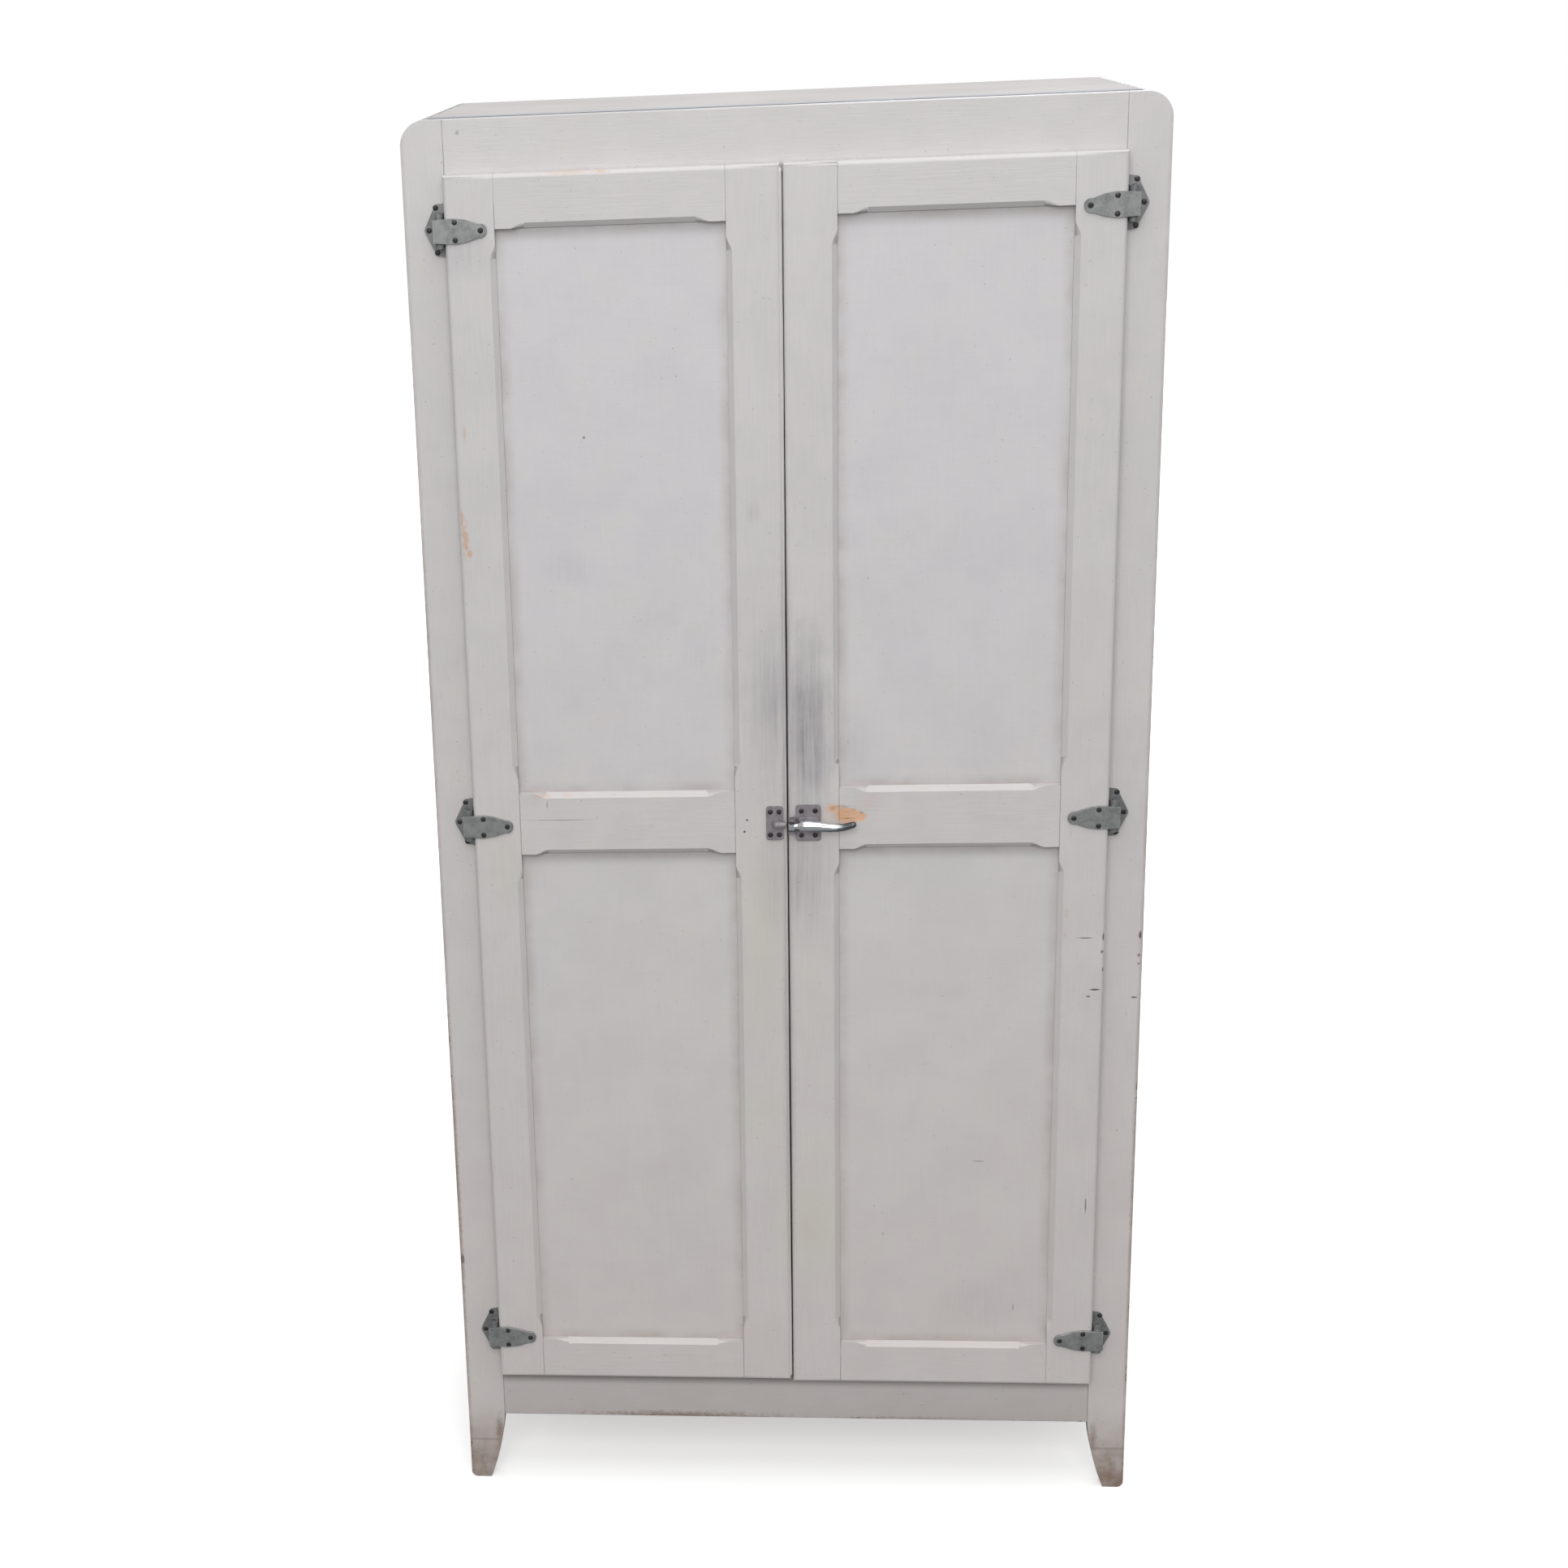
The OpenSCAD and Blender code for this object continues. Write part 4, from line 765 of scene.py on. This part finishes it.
def softened(node, material, width=0.0, turned=False, box=None, shortest=0.009):
    """A copy of a CAD piece with its triangles joined into whole faces and its long sharp edges rounded
    by width."""
    mesh = NODES[node].data.copy()
    shape = bmesh.new()
    shape.from_mesh(mesh)
    bmesh.ops.remove_doubles(shape, verts=shape.verts, dist=2e-6)
    bmesh.ops.dissolve_limit(shape, angle_limit=math.radians(0.2), verts=shape.verts, edges=shape.edges)
    shape.to_mesh(mesh)
    shape.free()
    mesh.name = node + "_softened"
    mesh.shade_smooth()
    mesh.set_sharp_from_angle(angle=math.radians(32))
    mark_board(mesh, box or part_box(node), turned)
    mesh.materials.clear()
    mesh.materials.append(material)
    piece = bpy.data.objects.new(node + "_finished", mesh)
    bpy.context.scene.collection.objects.link(piece)
    if width:
        weights = sharp_edges(mesh, shortest, math.radians(35))
        mesh.attributes.new("bevel_weight_edge", "FLOAT", "EDGE").data.foreach_set("value", weights)
        bevel = piece.modifiers.new("paint-softened edges", "BEVEL")
        bevel.limit_method = "WEIGHT"
        bevel.width = width
        bevel.segments = 2
        bevel.use_clamp_overlap = False
    normals = piece.modifiers.new("flat faces stay flat", "WEIGHTED_NORMAL")
    normals.weight = 90
    normals.keep_sharp = True
    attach(piece, BODY_OF[node])
    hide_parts(node)
    return piece


def span(node, axis):
    low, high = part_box(node)
    return low[axis], high[axis]


def clipped(node, x=None, z=None, y=None):
    """The node's box with its hidden tenons left out: x, y and z replace the box's own spans."""
    low, high = (Vector(corner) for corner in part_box(node))
    for axis, limits in ((X, x), (Y, y), (Z, z)):
        if limits:
            low[axis], high[axis] = limits
    return low, high


# ----------------------------------------------------------- surfaces of two parameters


def eased(value, start, end):
    """0 before start, 1 after end, and 3 t^2 - 2 t^3 between them."""
    share = np.clip((value - start) / (end - start), 0.0, 1.0)
    return share * share * (3.0 - 2.0 * share)


def turned(profile, centre, axis, around=28):
    """Surface of revolution: point (i, j) is centre + height i along the axis + radius i at angle j
    round it."""
    angle = np.linspace(0.0, 2.0 * np.pi, around, endpoint=False)
    radius, height = np.array(profile, float).T
    along, across, up = np.roll(np.eye(3), -axis, axis=0)
    ring = np.cos(angle)[:, None] * across + np.sin(angle)[:, None] * up
    return np.array(centre) + height[:, None, None] * along + radius[:, None, None] * ring


def swept(path, wide, tall, over=(0.0, 0.0, 1.0), around=28):
    """Tube: point (i, j) is path point i + wide i cos a across + tall i sin a up, both square to the
    path's way."""
    angle = np.linspace(0.0, 2.0 * np.pi, around, endpoint=False)
    ahead = np.gradient(path, axis=0)
    across = np.cross(ahead, over)
    across /= np.linalg.norm(across, axis=1, keepdims=True)
    up = np.cross(across, ahead)
    up /= np.linalg.norm(up, axis=1, keepdims=True)
    sides = (wide[:, None] * np.cos(angle))[:, :, None] * across[:, None]
    return path[:, None] + sides + (tall[:, None] * np.sin(angle))[:, :, None] * up[:, None]


def slotted_head(centre, radius, dome, slot, facing, turn, steps=9):
    """Domed disc with a slot: chords at distance t from the middle, each a loop over the dome and back
    beneath.

    Over the dome the height is dome (1 - (distance from the middle / radius)^2), less the slot's depth
    where t lies
    between the slot's walls. Both walls are doubled chords, so that they stand upright.
    """
    edge = slot / 2.0
    outer = radius * np.sin(np.linspace(np.pi / 2.0, math.asin(edge / radius), steps))
    t = np.concatenate([-outer, [-edge, edge], outer[::-1]])
    sunk = np.concatenate([np.zeros(steps), [1.0, 1.0], np.zeros(steps)])
    half = np.sqrt(np.maximum(radius ** 2 - t ** 2, 0.0))
    share = np.linspace(-1.0, 1.0, 2 * steps + 1)
    x = half[:, None] * share
    height = dome * (1.0 - (x ** 2 + t[:, None] ** 2) / radius ** 2) - sunk[:, None] * dome * 0.9
    x = np.concatenate([x, x[:, ::-1]], axis=1)
    height = np.concatenate([height, np.full_like(height, -dome)], axis=1)
    across = np.broadcast_to(t[:, None], x.shape)
    right = math.cos(turn) * x - math.sin(turn) * across
    above = math.sin(turn) * x + math.cos(turn) * across
    return np.array(centre) + np.stack([right, facing * height, above], axis=-1)


def shells_mesh(name, shells):
    """One mesh of closed shells, each a grid whose columns close round and whose first and last rows
    shrink away."""
    points, faces, first = [], [], 0
    for shell in shells:
        rows, columns = shell.shape[:2]
        i, j = np.meshgrid(np.arange(rows - 1) * columns, np.arange(columns), indexing="ij")
        after = (j + 1) % columns
        quads = np.stack([i + j, i + after, i + columns + after, i + columns + j], axis=-1)
        points.append(shell.reshape(-1, 3))
        faces.append(quads.reshape(-1, 4) + first)
        first += rows * columns
    mesh = bpy.data.meshes.new(name)
    mesh.from_pydata(np.concatenate(points), [], np.concatenate(faces))
    shape = bmesh.new()
    shape.from_mesh(mesh)
    bmesh.ops.remove_doubles(shape, verts=shape.verts, dist=1e-6)
    bmesh.ops.recalc_face_normals(shape, faces=shape.faces)
    shape.to_mesh(mesh)
    shape.free()
    return mesh


def solid_boxes(node):
    """Low and high corner of each separate solid: the lowest vertex number spreads along the edges
    until it rests."""
    mesh = NODES[node].data
    points = np.empty(len(mesh.vertices) * 3, np.float32)
    mesh.vertices.foreach_get("co", points)
    points = points.reshape(-1, 3)
    place, label = np.unique(np.round(points, 6), axis=0, return_inverse=True)
    ends = np.empty(len(mesh.edges) * 2, np.int32)
    mesh.edges.foreach_get("vertices", ends)
    a, b = label.ravel()[ends.reshape(-1, 2)].T
    lowest = np.arange(len(place))
    moved = True
    while moved:
        before = lowest.copy()
        np.minimum.at(lowest, a, before[b])
        np.minimum.at(lowest, b, before[a])
        lowest = lowest[lowest]
        moved = (lowest != before).any()
    _, owner = np.unique(lowest, return_inverse=True)
    low = np.full((owner.max() + 1, 3), np.inf)
    high = -low
    np.minimum.at(low, owner, place)
    np.maximum.at(high, owner, place)
    return low, high


def made(name, shells, material, node, slot, angle=40.0, replace=True):
    """A new piece from closed shells, which rides with a CAD node and, unless told otherwise, stands
    for it."""
    mesh = shells_mesh(name, shells)
    mesh.shade_smooth()
    mesh.set_sharp_from_angle(angle=math.radians(angle))
    mark_board(mesh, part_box(node), False)
    mesh.materials.append(material)
    piece = bpy.data.objects.new(name, mesh)
    bpy.context.scene.collection.objects.link(piece)
    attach(piece, BODY_OF[node])
    if replace:
        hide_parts(node)
    return piece


SCREW_DOME = 0.0007
SCREW_SHANK = 0.0017
SCREW_SLOT = 0.0008


def screw_shells(node):
    """Each wood screw: a slotted dome over a countersunk head and a shank, with its slot turned by its
    own angle."""
    shells = []
    low, high = solid_boxes(node)
    middle = (low + high) / 2.0
    for number, (at, start, end) in enumerate(zip(middle, low, high)):
        from_back = start[Y] > FRONT_Y + 0.001 and node != "frame_screws"
        facing = 1.0 if from_back else -1.0
        face = end[Y] - SCREW_DOME if from_back else start[Y] + SCREW_DOME
        radius = (end[X] - start[X]) / 2.0
        length = end[Y] - start[Y] - SCREW_DOME
        centre = (at[X], face, at[Z])
        shells.append(slotted_head(centre, radius - 0.0001, SCREW_DOME, SCREW_SLOT, facing,
            0.4 + 2.4 * number))
        body = [(0.0, 0.0), (radius, 0.0), (SCREW_SHANK, 0.0017), (SCREW_SHANK, length - 0.003),
            (0.0, length)]
        shells.append(turned([(r, -facing * h) for r, h in body], centre, Y, 20))
    return shells


LEVER_TIP = 0.004
LEVER_BARREL = [
    (0.0, -0.0061), (0.0037, -0.0061), (0.0042, -0.0056), (0.0042, 0.0028), (0.0037, 0.0032), (0.0, 0.0032),
]
SPRING_TURNS, SPRING_RADIUS, SPRING_PITCH, SPRING_FOOT = 2.7, 0.0031, 0.00085, 0.00365
SPRING_LEG, SPRING_WIRE = 0.0022, 0.00038


def lever_shells():
    """A barrel turned about the pin, and an arm that swells, droops and turns up at its tip, carried
    along its path.

    With x as the run from the pin, the path sinks by 2.6 mm between 18 and 52 mm, rises by 6.2 mm from
    56 mm on, and
    comes 3 mm forward there. The radius follows the list of stations, smoothed.
    """
    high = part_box("latch_lever")[HIGH]
    pin_low, pin_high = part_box("latch_pin")
    pivot = (pin_low + pin_high) / 2.0
    run = high.x - pivot.x
    x = np.concatenate([np.linspace(0.0, run - LEVER_TIP, 110),
        run - LEVER_TIP * np.cos(np.linspace(0.1, np.pi / 2, 12))])
    stations = np.array([0.0, 7.5, 9.0, 11.5, 14.0, 18.0, 30.0, 48.0, 60.0, 68.0, 90.0]) / 1000.0
    radii = np.array([3.4, 3.5, 4.3, 5.9, 6.5, 6.75, 6.35, 5.3, 4.4, 4.0, 3.8]) / 1000.0
    radius = np.interp(x, stations, radii)
    smooth = np.convolve(np.pad(radius, 3, mode="edge"), np.full(7, 1.0 / 7.0), mode="valid")
    end = np.sqrt(np.clip(1.0 - ((x - (run - LEVER_TIP)) / LEVER_TIP) ** 2, 0.0, 1.0))
    radius = smooth * np.where(x > run - LEVER_TIP, end, 1.0)
    radius[0] = 0.0
    sink = -0.0026 * eased(x, 0.018, 0.052) + 0.0062 * eased(x, 0.056, 0.082)
    path = np.stack([pivot.x + x, pivot.y - 0.003 * eased(x, 0.056, 0.078), pivot.z + sink], axis=1)
    return [swept(path, radius, radius), turned(LEVER_BARREL, tuple(pivot), Z)]


def spring_shells():
    """A wire wound in a helix: radius 3.1 mm, 0.85 mm up for each turn, with both ends run out straight."""
    pin_low, pin_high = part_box("latch_pin")
    pivot = (pin_low + pin_high) / 2.0
    angle = np.linspace(0.0, SPRING_TURNS * 2.0 * np.pi, 150)
    rise = SPRING_FOOT + SPRING_PITCH * angle / (2.0 * np.pi)
    coil = np.stack([SPRING_RADIUS * np.cos(angle), SPRING_RADIUS * np.sin(angle), rise], axis=1)
    first, last = coil[0] - coil[1], coil[-1] - coil[-2]
    legs = np.linspace(0.0, SPRING_LEG, 5)[1:, None]
    path = np.concatenate([
        (coil[0] + legs * first / np.linalg.norm(first))[::-1], coil,
        coil[-1] + legs * last / np.linalg.norm(last),
    ])
    wire = np.full(len(path), SPRING_WIRE)
    wire[[0, -1]] = 0.0
    return [swept(path + np.array(pivot), wire, wire, around=12)]


def ridge_shells():
    """The ridge that coats of paint left in the gap: a half oval carried up the edge, wider and
    narrower by slow waves."""
    low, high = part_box("left_meeting_stile")
    z = np.linspace(low.z + 0.003, high.z - 0.003, 420)
    waves = 0.5 + 0.25 * np.sin(9.0 * z + 0.6) + 0.15 * np.sin(31.0 * z) + 0.10 * np.sin(83.0 * z + 2.0)
    reach = 0.0016 + 0.0005 * waves + 0.0005 * eased(z, 0.9, 1.5)
    reach[[0, -1]] = 0.0
    back = np.where(reach > 0.0, 0.0030, 0.0)
    path = np.stack([np.full_like(z, high.x - 0.0002), np.full_like(z, low.y + 0.0042), z], axis=1)
    return [swept(path, back, reach, over=(1.0, 0.0, 0.0), around=16)]


# ------------------------------------------------------------------ operators


class PANTRY_OT_front_frame(bpy.types.Operator):
    """Paint the front stiles with their feet and the two front rails"""

    bl_idname = "pantry.front_frame"
    bl_label = "Front frame"

    def execute(self, context):
        width = context.scene.pantry_paint.soften
        stile = painted("frame stile paint", wear=0.9, wear_width=0.006)
        rail = painted("frame rail paint and painted shadow", wear=0.8, wear_width=0.005, joint=0.45)
        for node in ("front_stile_left", "front_stile_right"):
            softened(node, stile, width)
        lap = span("right_hinge_stile", X)[HIGH]
        for node in ("front_top_rail", "front_bottom_rail"):
            softened(node, rail, width, True, clipped(node, x=(-lap, lap)))
        return {"FINISHED"}


class PANTRY_OT_sides(bpy.types.Operator):
    """Paint the rear posts, the side rails and panels and the top"""

    bl_idname = "pantry.sides"
    bl_label = "Sides and top"

    def execute(self, context):
        width = context.scene.pantry_paint.soften
        post = painted("side paint", wear=0.8, wear_width=0.006)
        rail = painted("side rail paint", wear=0.8, wear_width=0.005, joint=0.6)
        panel = painted("side panel paint and painted shade", weave=0.6, wear=0.2)
        for side in ("left", "right"):
            softened("rear_post_" + side, post, width)
            for height in ("top", "bottom"):
                softened(f"side_{height}_rail_{side}", rail, width)
            inner = clipped(
                "side_panel_" + side, y=(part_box("front_stile_left")[HIGH].y,
                    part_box("rear_post_left")[LOW].y),
                z=(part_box("side_bottom_rail_left")[HIGH].z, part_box("side_top_rail_left")[LOW].z),
            )
            softened("side_panel_" + side, panel, box=inner)
        top = painted("top panel paint and painted shadow", wear=0.3, seam=True)
        softened("top_panel", top, width, True)
        return {"FINISHED"}


BACK_BOARDS = 5


class PANTRY_OT_back(bpy.types.Operator):
    """Finish the back rails, the lapped back boards and their nails"""

    bl_idname = "pantry.back"
    bl_label = "Back"

    def execute(self, context):
        softened("back_boards", bare_wood("bare softwood back", BACK_BOARDS))
        softened("back_top_rail", bare_wood("bare softwood rail"), turned=True)
        softened("back_bottom_rail", painted("back rail paint", wear=0.8), turned=True)
        metal = context.scene.pantry_metal
        softened("back_nails", plated("nail steel", metal.screw, metal.zinc_dark, 0.5))
        return {"FINISHED"}


class PANTRY_OT_shelves(bpy.types.Operator):
    """Finish the bottom board, the four shelves and their cleats"""

    bl_idname = "pantry.shelves"
    bl_label = "Shelves"

    def execute(self, context):
        width = context.scene.pantry_paint.soften
        wood = bare_wood("bare softwood shelves")
        for node in ("bottom_board", "shelf_1", "shelf_2", "shelf_3", "shelf_4"):
            softened(node, wood, width, True)
        softened("shelf_cleats", wood, width)
        return {"FINISHED"}


class PANTRY_OT_doors(bpy.types.Operator):
    """Paint the stiles, rails and panels of both doors"""

    bl_idname = "pantry.doors"
    bl_label = "Doors"

    def execute(self, context):
        width = context.scene.pantry_paint.soften
        stile = painted("door stile paint", wear=0.55, wear_width=0.004, on_door=True)
        rail = painted("door rail paint", wear=0.45, wear_width=0.004, on_door=True, joint=0.5)
        panel = painted("door panel paint and painted shade", weave=1.0, wear=0.1, on_door=True)
        for side in ("left", "right"):
            stiles = [side + "_hinge_stile", side + "_meeting_stile"]
            stiles.sort(key=lambda node: span(node, X)[LOW])
            opening = (span(stiles[0], X)[HIGH], span(stiles[1], X)[LOW])
            for node in stiles:
                softened(node, stile, width)
            rails = [f"{side}_door_{place}_rail" for place in ("bottom", "mid", "top")]
            for node in rails:
                softened(node, rail, width, True, clipped(node, x=opening))
            for below, above, name in ((0, 1, "lower"), (1, 2, "upper")):
                inner = (span(rails[below], Z)[HIGH], span(rails[above], Z)[LOW])
                node = f"{side}_{name}_panel"
                softened(node, panel, box=clipped(node, x=opening, z=inner))
        ridge = painted("gap paint", wear=0.0, on_door=True)
        made("paint_ridge_in_gap", ridge_shells(), ridge, "left_meeting_stile", "painted_wood",
            replace=False)
        return {"FINISHED"}


class PANTRY_OT_hinges(bpy.types.Operator):
    """Finish the six offset hinges and their pins"""

    bl_idname = "pantry.hinges"
    bl_label = "Hinges"

    def execute(self, context):
        metal = context.scene.pantry_metal
        strap = plated("hinge strap zinc", metal.zinc, metal.zinc_dark, 0.38)
        leaf = plated("hinge leaf zinc", [v * 0.8 for v in metal.zinc], metal.zinc_dark, 0.42)
        for side in ("left", "right"):
            for place in ("top", "mid", "bottom"):
                softened(f"strap_{side}_{place}", strap, 0.0004, True, shortest=0.0005)
                softened(f"frame_leaf_{side}_{place}", leaf)
        softened("hinge_pins", plated("hinge pin steel", metal.zinc_dark, metal.screw, 0.35))
        return {"FINISHED"}


class PANTRY_OT_screws(bpy.types.Operator):
    """Finish the wood screws of hinges, latch and bolt"""

    bl_idname = "pantry.screws"
    bl_label = "Screws"

    def execute(self, context):
        metal = context.scene.pantry_metal
        steel = plated("oxidised screw steel", metal.screw, tone(40, 36, 36), 0.4)
        for node in ("frame_screws", "left_door_screws", "right_door_screws"):
            made(node + "_slotted", screw_shells(node), steel, node, "dark_steel", 30.0)
        return {"FINISHED"}


class PANTRY_OT_latch(bpy.types.Operator):
    """Finish the latch case, its lever, pin and spring, and the strike"""

    bl_idname = "pantry.latch"
    bl_label = "Lever latch"

    def execute(self, context):
        metal = context.scene.pantry_metal
        zinc = plated("latch zinc", metal.latch, metal.latch_dark, 0.42)
        steel = plated("latch pin steel", metal.zinc_dark, metal.screw, 0.35)
        softened("latch_case", zinc, 0.0004, shortest=0.0008)
        softened("strike_plate", zinc, 0.0004, shortest=0.0008)
        made("latch_lever_drawn", lever_shells(), chrome("lever plating and painted reflection"), "latch_lever", "lever_chrome",
            50.0)
        softened("latch_pin", steel)
        made("latch_spring_coiled", spring_shells(), steel, "latch_spring", "dark_steel")
        return {"FINISHED"}


class PANTRY_OT_bolt(bpy.types.Operator):
    """Finish the slide bolt behind the left door"""

    bl_idname = "pantry.bolt"
    bl_label = "Slide bolt"

    def execute(self, context):
        metal = context.scene.pantry_metal
        softened("bolt_plate", plated("bolt plate zinc", metal.zinc, metal.zinc_dark, 0.4),
            0.0003)
        softened("bolt_rod", plated("drawn bolt steel", metal.bolt, metal.zinc_dark, 0.25, 1.0))
        return {"FINISHED"}


def softbox(name, size, power, place, target):
    """A square area light of the given side, turned to face target."""
    lamp = bpy.data.lights.new(name, "AREA")
    lamp.shape = "SQUARE"
    lamp.size = size
    lamp.energy = power
    light = bpy.data.objects.new(name, lamp)
    light.location = place
    light.rotation_euler = (Vector(target) - Vector(place)).to_track_quat("-Z", "Y").to_euler()
    bpy.context.scene.collection.objects.link(light)


def floor_mesh(half, steps):
    """A flat square: x and y run over an even grid from -half to half, z is 0."""
    line = np.linspace(-half, half, steps + 1)
    x, y = np.meshgrid(line, line)
    points = np.stack([x.ravel(), y.ravel(), np.zeros(x.size)], axis=1)
    first = (np.arange(steps)[:, None] * (steps + 1) + np.arange(steps)).ravel()
    faces = np.stack([first, first + 1, first + steps + 2, first + steps + 1], axis=1)
    mesh = bpy.data.meshes.new("studio_floor")
    mesh.from_pydata(points, [], faces)
    return mesh


class PANTRY_OT_stage(bpy.types.Operator):
    """Lay the pale floor, hang the softboxes and set up the camera"""

    bl_idname = "pantry.stage"
    bl_label = "Stage"

    def execute(self, context):
        scene = context.scene
        stage = scene.pantry_stage
        floor = bpy.data.objects.new("studio_floor", floor_mesh(12.0, 12))
        scene.collection.objects.link(floor)
        material, t, shader = new_material("pale floor")
        haze = t.ramp(t.noise(t.place(), 1.6, 3.0, 0.5), 0.2, 0.8, 0.97, 1.0)
        colour = t.mix(1.0, tuple(stage.floor), t.joined(haze, haze, haze), "MULTIPLY")
        # Seen by the camera the floor keeps its pale colour and glows, a painted light that keeps its shadows
        # pale and is weaker near the cabinet; to other rays it has the darker bounce colour
        seen = t.add("ShaderNodeLightPath").outputs["Is Camera Ray"]
        finish_material(t, shader, t.mix(seen, tuple(stage.bounce), colour), 0.85, 0.0)
        away = t.ramp(t.vector("LENGTH", t.place()), 0.9, 2.8, stage.lift, 1.0)
        t.feed(shader.inputs["Emission Color"], (1.0, 1.0, 1.0))
        t.feed(shader.inputs["Emission Strength"], t.times(seen, away))
        floor.data.materials.append(material)
        world = bpy.data.worlds.new("white surround")
        world.use_nodes = True
        world.node_tree.nodes.clear()
        t = Tree(world.node_tree)
        seen = t.add("ShaderNodeLightPath").outputs["Is Camera Ray"]
        back = t.add("ShaderNodeBackground")
        t.feed(back.inputs["Strength"], t.between(seen, stage.surround, 1.0))
        t.feed(t.add("ShaderNodeOutputWorld").inputs["Surface"], back.outputs[0])
        back.inputs["Color"].default_value = (1.0, 1.0, 1.0, 1.0)
        scene.world = world
        middle = (0.0, -0.2, 1.0)
        softbox("front softbox", 3.4, stage.key_power, (-0.3, -5.4, 3.8), middle)
        softbox("overhead softbox", 2.6, stage.top_power, (0.2, -0.9, 4.2), middle)
        softbox("rear softbox", 2.6, stage.fill_power, (1.2, 3.6, 3.0), middle)
        ahead = Vector((-math.sin(stage.yaw), math.cos(stage.yaw), 0.0))
        right = Vector((math.cos(stage.yaw), math.sin(stage.yaw), 0.0))
        up = Vector((0.0, 0.0, 1.0))
        look = math.cos(stage.pitch) * ahead - math.sin(stage.pitch) * up
        raised = math.sin(stage.pitch) * ahead + math.cos(stage.pitch) * up
        side = math.cos(stage.roll) * right - math.sin(stage.roll) * raised
        over = math.sin(stage.roll) * right + math.cos(stage.roll) * raised
        lens = bpy.data.cameras.new("camera")
        lens.sensor_width = 36.0
        lens.lens = stage.lens
        lens.shift_x, lens.shift_y = stage.shift
        lens.clip_end = 100.0
        camera = bpy.data.objects.new("camera", lens)
        turn = Matrix((side, over, -look)).transposed()
        camera.matrix_world = Matrix.Translation(Vector(stage.eye)) @ turn.to_4x4()
        scene.collection.objects.link(camera)
        scene.camera = camera
        scene.view_settings.view_transform = "Standard"
        return {"FINISHED"}


class PANTRY_PT_panel(bpy.types.Panel):
    """Lists the cabinet's pieces and settings"""

    bl_label = "Pantry cabinet"
    bl_idname = "PANTRY_PT_panel"
    bl_space_type = "VIEW_3D"
    bl_region_type = "UI"
    bl_category = "Pantry"

    def draw(self, context):
        for settings in (context.scene.pantry_paint, context.scene.pantry_metal,
            context.scene.pantry_stage):
            box = self.layout.box()
            for name in settings.__annotations__:
                box.prop(settings, name)
        for operator in OPERATORS:
            self.layout.operator(operator.bl_idname)


OPERATORS = (
    PANTRY_OT_stage, PANTRY_OT_front_frame, PANTRY_OT_sides, PANTRY_OT_back, PANTRY_OT_shelves,
        PANTRY_OT_doors,
    PANTRY_OT_hinges, PANTRY_OT_screws, PANTRY_OT_latch, PANTRY_OT_bolt,
)
SETTINGS = {"pantry_paint": PANTRY_PG_paint, "pantry_metal": PANTRY_PG_metal,
    "pantry_stage": PANTRY_PG_stage}


def register():
    for group in SETTINGS.values():
        bpy.utils.register_class(group)
    for name, group in SETTINGS.items():
        setattr(bpy.types.Scene, name, bpy.props.PointerProperty(type=group))
    for operator in OPERATORS:
        bpy.utils.register_class(operator)
    bpy.utils.register_class(PANTRY_PT_panel)


def unregister():
    bpy.utils.unregister_class(PANTRY_PT_panel)
    for operator in reversed(OPERATORS):
        bpy.utils.unregister_class(operator)
    for name, group in SETTINGS.items():
        delattr(bpy.types.Scene, name)
        bpy.utils.unregister_class(group)


def main():
    register()
    bpy.ops.pantry.stage()
    bpy.ops.pantry.front_frame()
    bpy.ops.pantry.sides()
    bpy.ops.pantry.back()
    bpy.ops.pantry.shelves()
    bpy.ops.pantry.doors()
    bpy.ops.pantry.hinges()
    bpy.ops.pantry.screws()
    bpy.ops.pantry.latch()
    bpy.ops.pantry.bolt()


if __name__ == "__main__":
    main()
